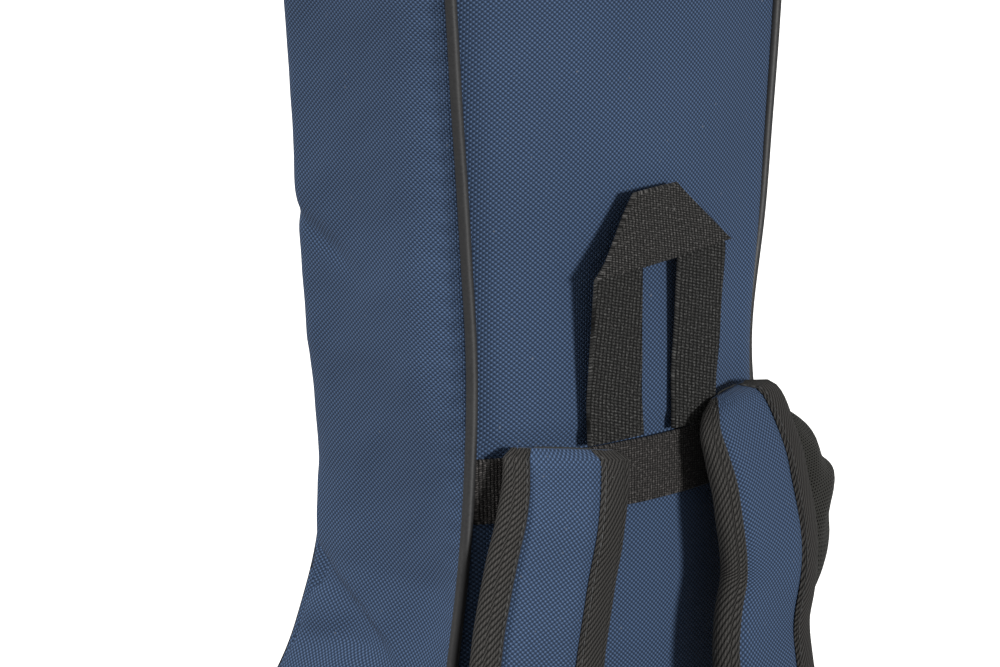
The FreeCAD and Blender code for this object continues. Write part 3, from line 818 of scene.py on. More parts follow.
@dataclass
class BagShape:
    """The bag's outline from the front, its crowned back and its stepped front, in millimetres."""

    bottom: float = float(node_box("gusset_cover")[0][2])
    top: float = float(node_box("gusset_cover")[1][2])
    half: float = float(node_box("gusset_cover")[1][0])
    seam_y: float = -65.0
    neck_front: float = 27.0
    body_front: float = float(node_box("gusset_cover")[1][1])
    ramp_top: float = 547.0
    ramp_foot: float = 400.0
    crown_edge: float = -63.5
    drawn_in: tuple = (5.5, 622, 40)
    corners: tuple = ()
    crown: tuple = (
        (2, 108, 1), (40, 186, 6), (100, 208, 11), (165, 208, 14), (230, 193, 15), (345, 155, 15),
        (415, 159, 15), (450, 145, 15), (478, 107, 16), (515, 85, 17), (600, 74.5, 17), (700, 78.3, 17),
        (950, 97.7, 16), (1015, 90.5, 11), (1052, 60, 5), (1071, 14, 1),
    )
    line: np.ndarray = field(default_factory=lambda: np.zeros((0, 2)))

    def __post_init__(self) -> None:
        """Trace the right half of the outline from the bottom's middle to the top's middle."""
        self.corners = (
            (self.half, self.bottom, 100), (self.half, 190, 150), (150, 345, 150), (165, 440, 60),
            (89, 488, 70), (70.5, 600, 560), (107, self.top, 95),
        )
        self.line = self._trace()
        self.run = lengths_along(self.line)
        tangent = unit(np.gradient(self.line, axis=0))
        self.out = np.stack([tangent[:, 1], -tangent[:, 0]], 1)
        table = np.array(self.crown, float)
        self.crown_z, self.crown_half, self.crown_rise = table.T

    def _trace(self) -> np.ndarray:
        """Round each corner with an arc that touches both sides, and sample it every 2 mm."""
        corner = np.array([c[:2] for c in self.corners], float)
        ends = np.vstack([[0, self.bottom], corner, [0, self.top]])
        pieces = [ends[:1]]
        for k, (_, _, radius) in enumerate(self.corners, start=1):
            back, ahead = unit(ends[k - 1] - ends[k]), unit(ends[k + 1] - ends[k])
            half = math.acos(float(np.clip(back @ ahead, -1, 1))) / 2
            first = ends[k] + back * radius / math.tan(half)
            centre = ends[k] + unit(back + ahead) * radius / math.sin(half)
            start = first - centre
            sweep = math.pi - 2 * half
            turn = np.sign(start[0] * -back[1] - start[1] * -back[0])
            angle = np.linspace(0, sweep, max(3, int(radius * sweep / 2))) * turn
            c, s = np.cos(angle), np.sin(angle)
            pieces.append(centre + np.stack([start[0] * c - start[1] * s, start[0] * s + start[1] * c], 1))
        pieces.append(ends[-1:])
        return spaced(np.vstack(pieces), 2.0)

    def at(self, run: np.ndarray) -> tuple[np.ndarray, np.ndarray]:
        """Point and outward direction (x, z) at distances round the whole outline.

        The first half runs up the right side and the second comes down the left. The right seam is
        drawn in where the strap pulls on it: how far, at what height and over what width.
        """
        total = self.run[-1]
        run = np.mod(run, 2 * total)
        left = run > total
        along = np.where(left, 2 * total - run, run)
        sign = np.where(left, -1.0, 1.0)
        point = np.stack([np.interp(along, self.run, self.line[:, k]) for k in (0, 1)], -1)
        out = unit(np.stack([np.interp(along, self.run, self.out[:, k]) for k in (0, 1)], -1))
        point[..., 0] *= sign
        out[..., 0] *= sign
        depth, height, width = self.drawn_in
        point[..., 0] -= np.where(left, 0.0, depth * hill(point[..., 1], height, width))
        return point, out

    def run_at(self, z: float) -> float:
        """Distance up the right side at which the outline reaches a height."""
        return float(np.interp(z, self.line[:, 1], self.run))

    def front(self, z: np.ndarray) -> np.ndarray:
        """Front surface: neck depth above the ramp, body depth below, with its two bends rounded."""
        z = np.asarray(z, float)
        slope = (self.body_front - self.neck_front) / (self.ramp_top - self.ramp_foot)
        soft = 14.0

        def knee(x: np.ndarray) -> np.ndarray:
            return 0.5 * (x + np.sqrt(x * x + soft * soft))

        fall = knee(z - self.ramp_foot) - knee(z - self.ramp_top)
        return self.body_front - slope * fall

    def crowned(self, x: np.ndarray, z: np.ndarray) -> np.ndarray:
        """Back surface: an arc across the bag, its rise taken from the crown table."""
        half = np.interp(z, self.crown_z, self.crown_half)
        rise = np.interp(z, self.crown_z, self.crown_rise)
        radius = (half * half + rise * rise) / (2 * rise)
        reach = np.minimum(np.abs(x), radius * 0.98)
        return self.crown_edge - rise + radius - np.sqrt(radius * radius - reach * reach)


BAG = BagShape()


# Padded shell -----------------------------------------------------------------------------------

QUILT = 46
MIDDLE_LOW, MIDDLE_HIGH = 150, 930


def run_samples(step: float) -> np.ndarray:
    """Distances round the outline, even and the same on both sides of the bag."""
    total = 2 * BAG.run[-1]
    return np.linspace(0, total, int(total / step / 2) * 2, endpoint=False)


def towards_middle(edge: np.ndarray, shares: np.ndarray, low: float, high: float) -> np.ndarray:
    """Points from an outline in to the line x = 0.

    Args:
        edge: (n, 2) outline points x, z.
        shares: 0 at the outline to 1 at the middle line.
        low: below this height the middle line is shortened by 45%.
        high: above this height it is shortened too.

    Returns:
        (n, shares, 2) points x, z.
    """
    z = edge[:, 1]
    target = np.clip(z, low, high) + 0.55 * (z - np.clip(z, low, high))
    middle = np.stack([np.zeros_like(z), target], 1)
    return edge[:, None] + (middle - edge)[:, None] * shares[None, :, None]


def edge_shares(reach: float, count: int) -> np.ndarray:
    """Shares from 0 to 1 that are close together near the outline."""
    t = np.linspace(0, 1, count)
    return t * (1 - reach) + reach * t**3


def inwards(edge: np.ndarray, reach: float, count: int) -> tuple[np.ndarray, np.ndarray, np.ndarray]:
    """x, z and distance from the edge, for a grid that runs in from an outline to the middle line."""
    flat = towards_middle(edge, edge_shares(reach, count), MIDDLE_LOW, MIDDLE_HIGH)
    return flat[..., 0], flat[..., 1], np.linalg.norm(flat - edge[:, None], axis=2)


def quilted_lining(name: str, body: str, node: str, face: np.ndarray, side: int) -> None:
    """Make a thin lining, from the grid of its face and the side that it looks to: -1 back, 1 front."""
    uv = closed_uv(face[..., 0], face[..., 2])
    parts = MeshParts()
    parts.grid(face, uv, (True, False), away=(0, 400 * side, 500))
    parts.grid(face + [0, 0.6 * side, 0], uv, (True, False), away=(0, -400 * side, 500))
    piece = parts.build(name, "lining_grey", merge=0.05)
    settle(piece, body, "lining_grey", node)


@dataclass
class StrapSidePanel:
    """Crowned panel that lies against the player's back, with its lining."""

    inset: float = 2.6
    thick: float = 10.2
    roll: float = 2.2

    def surface(self, x: np.ndarray, z: np.ndarray, from_edge: np.ndarray) -> np.ndarray:
        """Outer surface: the crown with faint slack waves and the seam's groove above the band.

        The left edge is drawn in next to the welt, by roll e^(-d/4); the right edge swells a little.
        """
        slack = smooth(from_edge, 6, 30)
        waves = 0.25 * (1 + ripple(x, z, 70, 3)) * slack + 0.12 * (1 + ripple(x, z * 0.6, 26, 4)) * slack
        seam = 2.0 * hill(z, BAND_TOP + 2.2, 2.6) * smooth(from_edge, 0, 4)
        side = smooth(x, -20, 20)
        edge = self.roll * (1 - side) * np.exp(-from_edge / 4.0) - 1.6 * side * hill(from_edge, 3, 6)
        return BAG.crowned(x, z) + edge + waves + seam

    def build(self) -> None:
        """Make the panel and its lining."""
        point, out = BAG.at(run_samples(4.0))
        edge = point - out * (self.inset - 1.1 * smooth(point[:, :1], -20, 20))
        x, z, away = inwards(edge, 0.7, 46)
        y = self.surface(x, z, away)
        outer = np.stack([x, y, z], -1)
        inner = np.stack([x, y + self.thick * (0.35 + 0.65 * smooth(away, 0, 12)), z], -1)
        uv = closed_uv(x, z)
        parts = MeshParts()
        parts.grid(outer, uv, (True, False), away=(0, 0, 500))
        parts.grid(inner, uv, (True, False), away=(0, -400, 500), slot=1)
        rim = np.stack([outer[:, 0], inner[:, 0]], 1)
        rim_uv = metric_uv(lengths_along(np.vstack([edge, edge[:1]])), np.array([0.0, 3.5]))
        parts.grid(rim, rim_uv, (True, False), away=(0, -70, 500))
        piece = parts.build("strap_side_panel", "shell_blue", "padding", merge=0.05)
        settle(piece, "root", "shell_blue", "back_cover", "back_foam")
        self.line_inside()

    def line_inside(self) -> None:
        """Quilted lining behind the padding, with shallow channels."""
        point, out = BAG.at(run_samples(7.0))
        x, z, away = inwards(point - out * (self.inset + 10), 0.4, 30)
        y = BAG.crowned(x, z) + 10.9 + 0.5 * np.abs(np.sin(math.pi * z / QUILT)) * smooth(away, 0, 10)
        quilted_lining("strap_side_lining", "root", "back_lining", np.stack([x, y, z], -1), -1)


def handle_hold(z: np.ndarray) -> np.ndarray:
    """1 at the two heights where the carry handle is sewn down, falling to 0 round them."""
    return np.clip(hill(z, 278, 26) + hill(z, 398, 26), 0, 1)


@dataclass
class SideWall:
    """Padded wall round the bag, from the welt to the zip, with its lining.

    Its section is a closed loop: out from the welt, round a soft front corner, in along the front edge
    and back down inside the padding.
    """

    start_y: float = -63.4
    deepest: float = -8.6
    heights: tuple = (6, 60, 400, 440, 480, 505, 530, 547, 562, 576, 605, 633, 660, 985, 1050)
    stands_out: tuple = (0.4, 3, 3, 3, 0, -3, -4.5, -5.5, -2.5, 0.0, 4.4, 7.7, 8.6, 8.2, 3)
    droop: tuple = (7, 9, 9, 10, 18, 26, 28, 30, 28, 24, 20, 11, 9, 9, 8)
    sag: tuple = (0, 0, 0, 0, 1, 2.4, 4, 4, 1.5, 0, 0, 0, 0, 0, 0)

    def bulge(self, run: np.ndarray) -> np.ndarray:
        """How far the padding stands out of the seam line: more on the neck, none at the handle."""
        point, _ = BAG.at(run)
        size = np.interp(point[:, 1], self.heights, self.stands_out)
        return size - np.where(point[:, 0] > 0, 2.6 * handle_hold(point[:, 1]), 0.0)

    def section(self, run: np.ndarray) -> tuple[np.ndarray, np.ndarray]:
        """The loop at each place round the bag; its front corner is a quarter of an ellipse.

        Returns:
            (n, m, 2) distances out of the outline and along Y, and (m,) which of the points show.
        """
        point, _ = BAG.at(run)
        front = BAG.front(point[:, 1])
        size = self.bulge(run)
        tall = np.interp(point[:, 1], self.heights, self.droop)
        wide = np.clip(6.8 + size, 2.2, 8.0)
        drop = np.interp(point[:, 1], self.heights, self.sag)
        t = np.linspace(0, 1, 26)
        rise = 1 - (1 - np.clip(t * 2.2, 0, 1)) ** 2.6
        wall_out = size[:, None] * rise[None] * (1 - 0.06 * t[None] ** 4)
        end_y = front - drop - tall
        wall_y = self.start_y + (end_y - self.start_y)[:, None] * t[None]
        turn = np.linspace(0, math.pi / 2, 12)[1:]
        round_out = wall_out[:, -1:] - wide[:, None] * (1 - np.cos(turn))[None]
        round_y = end_y[:, None] + tall[:, None] * np.sin(turn)[None]
        face = np.linspace(0, 1, 6)[1:]
        inner, deep = -7.0, -10.0
        face_out = round_out[:, -1:] + (inner - round_out[:, -1:]) * face[None]
        face_y = front[:, None] - drop[:, None] * (1 - face) - 0.5 * smooth(face, 0.6, 1.0)[None]
        under_out = np.stack([inner + 0 * front, deep + 0 * front], 1)
        under_y = np.stack([front - 3.5, front - 12], 1)
        back = np.linspace(0, 1, 10)[1:]
        back_out = np.broadcast_to(deep + 7.5 * smooth(back, 0.7, 1.0), (len(run), len(back)))
        back_y = under_y[:, -1:] + (self.start_y + 0.4 - under_y[:, -1:]) * back[None]
        out = np.hstack([wall_out, round_out, face_out, under_out, back_out])
        y = np.hstack([wall_y, round_y, face_y, under_y, back_y])
        return np.stack([out, y], -1), np.arange(out.shape[1]) < wall_out.shape[1] + round_out.shape[1]

    def folds(self, side: np.ndarray, y: np.ndarray, z: np.ndarray) -> np.ndarray:
        """Buckles of the wall where the neck meets the body, and one small dimple above.

        Each is a valley e^(-(h/w)^2) beside a slanting line, with a softer swelling above it.
        """
        left = (side < 0).astype(float)
        line = 549 + (y - 27) * 0.62
        height = z - line
        fade = smooth(y, -36, -4)
        valley = np.where(height < 0, np.exp(-(height / 14) ** 2), np.exp(-(height / 2.6) ** 2))
        swell = np.where(height > 0, np.exp(-((height - 13) / 17) ** 2), 0)
        deep = left * fade * (-5.0 * valley + 1.6 * swell)
        below = smooth(-height, 4, 12) * (1 - smooth(-height, 26, 46))
        second = hill(height + 0.95 * (y + 12), 0, 7) * below
        low = left * -3.4 * second * smooth(y, -30, -14)
        dimple_line = 685 + (y - 27) * 0.52
        dimple = -1.5 * left * hill(z, dimple_line, 4.0) * smooth(y, -16, 6)
        puff = 0.7 * left * hill(z, dimple_line + 11, 9.0) * smooth(y, -16, 6)
        right = 1 - left
        far_line = 541 + (y - 27) * 0.5
        far = right * -4.0 * hill(z, far_line, 11) * smooth(y, -34, 0)
        return deep + low + dimple + puff + far

    def build(self) -> None:
        """Make the wall and its lining."""
        run = run_samples(2.4)
        loop, shows = self.section(run)
        point, out = BAG.at(run)
        y = loop[..., 1]
        z = np.broadcast_to(point[:, 1][:, None], y.shape)
        away = smooth(y, self.start_y + 1, self.start_y + 16) * shows
        front = BAG.front(point[:, 1])[:, None]
        waves = 0.5 * ripple(run[:, None] + 0 * y, y, 60, 8) + 0.25 * ripple(run[:, None] + 0 * y, y, 22, 9)
        puckers = 0.35 * np.sin(run[:, None] * TAU / 9.5 + 0.8 * np.sin(run[:, None] / 31)) * hill(
            y, self.start_y + 5, 5
        )
        edge = 1 - 0.75 * smooth(y, front - 10, front)
        held = np.where(point[:, :1] > 0, 1 - handle_hold(point[:, 1:]), 1.0)
        shift = away * (waves * edge * held + self.folds(point[:, :1], y, z)) + puckers * shows
        distance = np.where(shows, np.maximum(loop[..., 0] + shift, self.deepest), loop[..., 0])
        flat = point[:, None] + out[:, None] * distance[..., None]
        points = at_y(flat, y)
        ring = np.concatenate([points, points[:, :1]], 1)
        across = np.cumsum(np.linalg.norm(np.diff(ring, axis=1, prepend=ring[:, :1]), axis=2), 1)
        across = np.vstack([across, across[:1]])
        along = np.broadcast_to(np.append(run, 2 * BAG.run[-1])[:, None], across.shape)
        uv = np.stack([across, along], -1) * MM
        parts = MeshParts()
        parts.grid(points, uv, (True, True))
        piece = parts.build("side_wall", "shell_blue")
        settle(
            piece, "root", "shell_blue", "gusset_cover", "gusset_foam_bottom", "gusset_foam_left_body",
            "gusset_foam_right_body", "gusset_foam_left_neck", "gusset_foam_right_neck", "gusset_foam_top",
        )
        self.line_inside()

    def line_inside(self) -> None:
        """Lining of the wall, with shallow quilting channels."""
        run = run_samples(6.0)
        point, out = BAG.at(run)
        front = BAG.front(point[:, 1])
        t = np.linspace(0, 1, 14)
        y = -49 + (front - 1.4 + 49)[:, None] * t[None]
        inset = 10.6 + 0.5 * np.abs(np.sin(math.pi * run / QUILT))[:, None] * np.sin(math.pi * t)[None]
        parts = MeshParts()
        uv = metric_uv(np.append(run, 2 * BAG.run[-1]), 100 * t)
        for extra, looks_in in ((0.5, True), (0.0, False)):
            flat = point[:, None] - out[:, None] * (inset + extra)[..., None]
            face = at_y(flat, y)
            parts.grid(face, uv, (True, False), away=(0, 0, 500))
            if looks_in:
                parts.faces[-1] = parts.faces[-1][:, ::-1]
                parts.uvs[-1] = parts.uvs[-1][:, ::-1]
        piece = parts.build("side_lining", "lining_grey")
        settle(piece, "root", "lining_grey", "gusset_lining")


@dataclass
class Welt:
    """Vinyl piping in the seam between the strap-side panel and the wall."""

    radius: float = 2.3

    def build(self) -> None:
        """Make the piping, which wobbles slightly."""
        run = run_samples(3.0)
        point, out = BAG.at(run)
        wobble = 0.16 * np.sin(run / 37) + 0.12 * np.sin(run / 11.3)
        flat = point + out * wobble[:, None]
        path = at_y(flat, BAG.seam_y + 0.14 * np.sin(run / 23))
        normals = at_y(out, 0 * run)
        parts = MeshParts()
        tube(parts, path, normals, self.radius, 18)
        piece = parts.build("back_welt", "welt_vinyl")
        settle(piece, "root", "welt_vinyl", "back_piping")


# Front: zip, lid and pockets --------------------------------------------------------------------

HINGE_LOW, HINGE_HIGH = 102.0, 160.0


def zip_teeth(parts: MeshParts, path: np.ndarray, normals: np.ndarray, pitch: float = 2.0,
              reach: float = 2.6) -> None:
    """Interlocked teeth along a path: one to the left and one to the right in turn."""
    along = lengths_along(path)
    spots = np.arange(pitch / 2, along[-1], pitch / 2)
    at = sampled(path, along, spots)
    up = unit(sampled(normals, along, spots))
    axes = basis_along(at, up)
    side = np.where(np.arange(len(spots)) % 2 == 0, 0.55, -0.55)
    points, quads = block((pitch * 0.42, reach, 1.3), 0.2)
    parts.copies(points, quads, at + axes[:, 1] * side[:, None], axes)


@dataclass
class MainZip:
    """Zip round the front, left out along the hinge, and the cloth strip that joins the lid there."""

    inset: float = 12.8

    def open_runs(self) -> np.ndarray:
        """Distances round the outline that the zip takes in: all but the hinge on the right side."""
        low, high = BAG.run_at(HINGE_LOW), BAG.run_at(HINGE_HIGH)
        return np.linspace(high + 1, low - 1 + 2 * BAG.run[-1], 1100)

    def strip(self, run: np.ndarray, inset: float, lift: float) -> tuple[np.ndarray, np.ndarray]:
        """A path on the front at one inset, and its outward directions."""
        point, out = BAG.at(run)
        flat = point - out * inset
        y = BAG.front(flat[:, 1]) + lift
        slope = (BAG.front(flat[:, 1] + 1) - BAG.front(flat[:, 1] - 1)) / 2
        normals = unit(np.stack([0 * y, 1 + 0 * y, -slope], 1))
        return at_y(flat, y), normals

    def build(self) -> None:
        """Make the tapes, the teeth and the hinge strip."""
        run = self.open_runs()
        for name, body, node, bands in (
            ("main_zip_tape", "root", "zipper_tape_base", ((8.9, -0.5, 3.6, 0.8),)),
            ("lid_zip_tape", "lid", "zipper_tape_lid", ((19.4, -0.5, 2.4, 0.8), (16.6, -0.9, 3.6, 0.5))),
        ):
            tape = MeshParts()
            for inset, lift, width, thick in bands:
                ribbon(tape, *self.strip(run, inset, lift), width, thick)
            settle(tape.build(name, "zip_tape"), body, "zip_tape", node)
        teeth = MeshParts()
        path, normals = self.strip(run, self.inset, 0.25)
        zip_teeth(teeth, path, normals)
        settle(teeth.build("main_zip_teeth", "zip_teeth"), "root", "zip_teeth", "main_zipper_chain")
        self.hinge()

    def hinge(self) -> None:
        """Cloth strip between wall and lid, softly rounded, as a grid across x and z."""
        x = np.linspace(189.5, 202.0, 15)
        z = np.linspace(HINGE_LOW, HINGE_HIGH, 24)
        grid_x, grid_z = np.meshgrid(x, z, indexing="ij")
        y = BAG.body_front - 0.35 - 0.8 * hill(grid_x, 195.5, 2.5)
        top = np.stack([grid_x, y, grid_z], -1)
        parts = MeshParts()
        uv = np.stack([grid_x, grid_z], -1) * MM
        parts.grid(top, uv, away=(195, 0, 130))
        parts.grid(top - [0, 0.8, 0], uv, away=(195, 200, 130))
        piece = parts.build("lid_hinge_strip", "shell_blue")
        start, end = np.array([200.8, 64.5, 131]), np.array([189.8, 64.5, 131])
        settle_between(piece, ("root", "lid"), start, end, "shell_blue", "lid_hinge_tape")


@dataclass
class Lid:
    """Front panel that opens: padded face with a rolled edge, and its lining."""

    inset: float = 20.7
    thick: float = 10.0

    def build(self) -> None:
        """Make the padded face and its lining."""
        run = run_samples(4.5)
        point, out = BAG.at(run)
        x, z, away = inwards(point - out * self.inset, 0.7, 40)
        slack = smooth(away, 4, 26)
        waves = 0.3 * ripple(x, z, 80, 12) * slack
        bag = 0.9 * (1 - np.exp(-away / 12)) * (1 - smooth(away, 60, 100) * 0.2)
        y = BAG.front(z) - 1.6 * np.exp(-away / 2.5) + 0.35 * waves + 0.2 * bag - 0.35
        outer = np.stack([x, y, z], -1)
        inner = np.stack([x, BAG.front(z) - 1.5 - (self.thick - 1.5) * smooth(away, 0, 8), z], -1)
        uv = closed_uv(x, z)
        parts = MeshParts()
        parts.grid(outer, uv, (True, False), away=(0, -100, 500))
        parts.grid(inner, uv, (True, False), away=(0, 400, 500), slot=1)
        rim = np.stack([outer[:, 0], inner[:, 0]], 1)
        parts.grid(rim, metric_uv(np.append(run, run[-1] + 4.5), np.array([0.0, 2.0])), (True, False),
                   away=(0, 30, 500))
        piece = parts.build("lid_panel", "shell_blue", "padding", merge=0.05)
        settle(piece, "lid", "shell_blue", "lid_cover", "lid_foam")
        self.line_inside()

    def line_inside(self) -> None:
        """Quilted lining on the lid's inner side."""
        point, out = BAG.at(run_samples(7.0))
        x, z, away = inwards(point - out * (self.inset + 1.8), 0.4, 28)
        quilt = 0.5 * (1 - np.abs(np.sin(math.pi * z / QUILT))) * smooth(away, 0, 10)
        y = BAG.front(z) - 2.6 - 8.4 * smooth(away, 0, 8) + quilt
        quilted_lining("lid_inner", "lid", "lid_lining", np.stack([x, y, z], -1), 1)


# Slabs, pillows and pockets ---------------------------------------------------------------------

def slab(parts: MeshParts, face: np.ndarray, normals: np.ndarray, uv: np.ndarray, thick: float,
         slot: int = 0) -> None:
    """A sheet of some thickness with round edges, from the grid of its middle surface.

    The grid is carried on by a quarter circle past every edge; front and back meet there.
    """
    radius = thick / 2
    turn = np.array([math.pi / 2, math.pi / 3, math.pi / 6])
    before, after = turn, turn[::-1]

    def stretched(values: np.ndarray) -> np.ndarray:
        return np.pad(values, ((3, 3), (3, 3), (0, 0)), mode="edge")

    rows, cols = face.shape[:2]
    angle_u = np.concatenate([before, np.zeros(rows), after])
    angle_v = np.concatenate([before, np.zeros(cols), after])
    side_u = np.concatenate([-np.ones(3), np.zeros(rows), np.ones(3)])
    side_v = np.concatenate([-np.ones(3), np.zeros(cols), np.ones(3)])
    along_u = stretched(unit(np.gradient(face, axis=0)))
    along_v = stretched(unit(np.gradient(face, axis=1)))
    spread = along_u * (side_u * np.sin(angle_u))[:, None, None]
    spread = spread + along_v * (side_v * np.sin(angle_v))[None, :, None]
    lift = stretched(normals) * (np.cos(angle_u)[:, None] * np.cos(angle_v)[None])[..., None]
    middle = stretched(face) + spread * radius
    flat_uv = stretched(uv)
    centre = face.mean((0, 1))
    normal = normals.mean((0, 1)) * 1000
    parts.grid(middle + lift * radius, flat_uv, away=centre - normal, slot=slot)
    parts.grid(middle - lift * radius, flat_uv, away=centre + normal, slot=slot)


def strip(parts: MeshParts, path: np.ndarray, normals: np.ndarray, width: float, thick: float,
          columns: int = 9) -> None:
    """A flat band of a width along a path, as a slab."""
    axes = basis_along(path, normals)
    across = (width / 2 - thick / 2) * np.linspace(-1, 1, columns)
    face = path[:, None] + axes[:, None, 1] * across[:, None]
    outward = np.broadcast_to(axes[:, None, 2], face.shape)
    slab(parts, face, outward, metric_uv(lengths_along(path), across), thick)


def pillow(parts: MeshParts, low: np.ndarray, high: np.ndarray, power: float, seed: int) -> None:
    """A stuffed box: a superellipsoid, whose powers of sine and cosine square it off, with faint dents."""
    lat = np.linspace(-math.pi / 2, math.pi / 2, 29)
    lon = np.linspace(0, TAU, 56, endpoint=False)

    def squared(values: np.ndarray) -> np.ndarray:
        return np.sign(values) * np.abs(values) ** power

    u, v = np.meshgrid(lat, lon, indexing="ij")
    round_x, round_z = squared(np.cos(u)) * squared(np.cos(v)), squared(np.cos(u)) * squared(np.sin(v))
    shape = np.stack([round_x, squared(np.sin(u)), round_z], -1)
    points = (low + high) / 2 + shape * (high - low) / 2
    dent = 0.4 * (ripple(points[..., 0], points[..., 2], 30, seed) - 1)
    points[..., 1] += np.sign(shape[..., 1]) * dent * np.abs(shape[..., 1]) ** 3
    ring = np.hstack([points, points[:, :1]])
    parts.grid(points, ring[..., [0, 2]] * MM, (False, True))


def rounded_outline(corners: tuple, step: float) -> tuple[np.ndarray, np.ndarray]:
    """A polygon with round corners (x, z, radius), sampled, and its outward directions."""
    points = np.array([c[:2] for c in corners], float)
    pieces = []
    for k, (_, _, radius) in enumerate(corners):
        here = points[k]
        back, ahead = unit(points[k - 1] - here), unit(points[(k + 1) % len(points)] - here)
        half = math.acos(float(np.clip(back @ ahead, -1, 1))) / 2
        first, last = here + back * radius / math.tan(half), here + ahead * radius / math.tan(half)
        centre = here + unit(back + ahead) * radius / math.sin(half)
        t = np.linspace(0, 1, 20)[:, None]
        bend = unit((first - centre) * (1 - t) + (last - centre) * t)
        pieces.append(centre + bend * radius)
    line = np.vstack([*pieces, pieces[0][:1]])
    line = spaced(line, step)[:-1]
    tangent = unit(np.roll(line, -1, 0) - np.roll(line, 1, 0))
    out = np.stack([tangent[:, 1], -tangent[:, 0]], 1)
    if float(((line - line.mean(0)) * out).sum()) < 0:
        out = -out
    return line, out


@dataclass
class Pocket:
    """Box pocket on the lid: soft shell, corded edge and a zip."""

    name: str
    corners: tuple
    back: float
    depth: float
    zip_line: tuple
    radius: float = 7.0

    def build(self) -> None:
        """Make the shell and the zip."""
        line, out = rounded_outline(self.corners, 4.0)
        side = np.linspace(0, 1, 9)
        turn = np.linspace(0, math.pi / 2, 7)[1:]
        inset = np.concatenate([-0.8 * np.sin(math.pi * side), self.radius * (1 - np.cos(turn))])
        depth = np.concatenate(
            [0.3 + (self.depth - self.radius - 0.3) * side, self.depth - self.radius * (1 - np.sin(turn))]
        )
        wall = line[:, None] - out[:, None] * inset[None, :, None]
        wall_y = self.back + np.broadcast_to(depth, wall.shape[:2])
        low, high = line[:, 1].min() + 62, line[:, 1].max() - 62
        face = towards_middle(wall[:, -1], edge_shares(0.5, 26)[1:], low, high)
        away = np.linalg.norm(face - wall[:, -1:], axis=2)
        waves = ripple(face[..., 0], face[..., 1], 55, 21) * smooth(away, 3, 20)
        face_y = self.back + self.depth - 0.45 + 0.45 * waves - 0.7 * self.zip_dip(face)
        flat = np.concatenate([wall, face], 1)
        y = np.concatenate([wall_y, face_y], 1)
        points = at_y(flat, y)
        cloth = np.stack([flat[..., 0] + 0 * y, flat[..., 1] + y * 0.7], -1) * MM
        parts = MeshParts()
        inside = (0, -100, line[:, 1].mean())
        parts.grid(points, np.concatenate([cloth, cloth[:1]]), (True, False), away=inside)
        edge = line - out * (self.radius * 0.35)
        path = at_y(edge, self.back + self.depth - self.radius * 0.34)
        normals = at_y(out, 0 * out[:, 0])
        tube(parts, path, normals, 1.5, 10, slot=1)
        piece = parts.build(f"{self.name}_shell", "shell_blue", "welt_vinyl")
        settle(piece, "lid", "shell_blue", f"{self.name}_cover")
        self.add_zip()

    def zip_dip(self, flat: np.ndarray) -> np.ndarray:
        """1 along the zip, falling to about a third 6 mm from it."""
        (x0, z0), (x1, z1) = self.zip_line
        start, end = np.array([x0, z0]), np.array([x1, z1])
        along = np.clip(((flat - start) @ (end - start)) / ((end - start) @ (end - start)), 0, 1)
        nearest = start + along[..., None] * (end - start)
        return hill(np.linalg.norm(flat - nearest, axis=-1), 0, 6)

    def add_zip(self) -> None:
        """Tape with two rows of stitches, and teeth down its middle."""
        (x0, z0), (x1, z1) = self.zip_line
        y = self.back + self.depth
        path = spaced(np.array([[x0, y - 0.9, z0], [x1, y - 0.9, z1]], float), 3)
        normals = np.broadcast_to([0.0, 1.0, 0.0], path.shape)
        parts = MeshParts()
        strip(parts, path, normals, 15.0, 0.8, 7)
        zip_teeth(parts, path + [0, 0.55, 0], normals)
        parts.slots[-1][:] = 1
        across = unit(np.cross(normals[0], path[-1] - path[0]))
        for side in (-6.2, 6.2):
            stitch_row(parts, path + across * side + [0, 0.45, 0], normals, 3.0, 0.35, slot=2)
        piece = parts.build(f"{self.name}_zip", "zip_tape", "zip_teeth", "thread_black")
        settle(piece, "lid", "zip_teeth", f"{self.name}_chain")


# Webbing ----------------------------------------------------------------------------------------

BAND_TOP, WEB_WIDTH, WEB_THICK = 600.0, 25.0, 1.6


@dataclass
class AnchorBand:
    """Ribbed band across the neck that holds the straps and the hang loop."""

    half: float = 72.6
    right_short: float = 4.6

    def build(self) -> None:
        """Make the band along the crown, slightly wavy, its ends turned in at the seams."""
        half = self.half
        x = np.linspace(-half, half - self.right_short, 90)
        z = np.linspace(BAND_TOP - WEB_WIDTH + 0.8, BAND_TOP - 0.8, 12)
        grid_x, grid_z = np.meshgrid(x, z, indexing="ij")
        waves = 0.3 * ripple(grid_x, grid_z, 34, 31)
        y = BAG.crowned(grid_x, grid_z) - 1.0 + waves + 0.8 * smooth(np.abs(grid_x), 66, half)
        face = np.stack([grid_x, y, grid_z], -1)
        normals = np.broadcast_to([0.0, -1.0, 0.0], face.shape)
        bend = np.sign(x) * np.interp(np.abs(x), [0, half], [0, half * 1.02])
        uv = np.stack(np.meshgrid(bend, z, indexing="ij"), -1) * MM
        parts = MeshParts()
        slab(parts, face, normals, uv, WEB_THICK)
        piece = parts.build("anchor_band", "band_grosgrain")
        settle(piece, "root", "band_grosgrain", "strap_anchor_band")


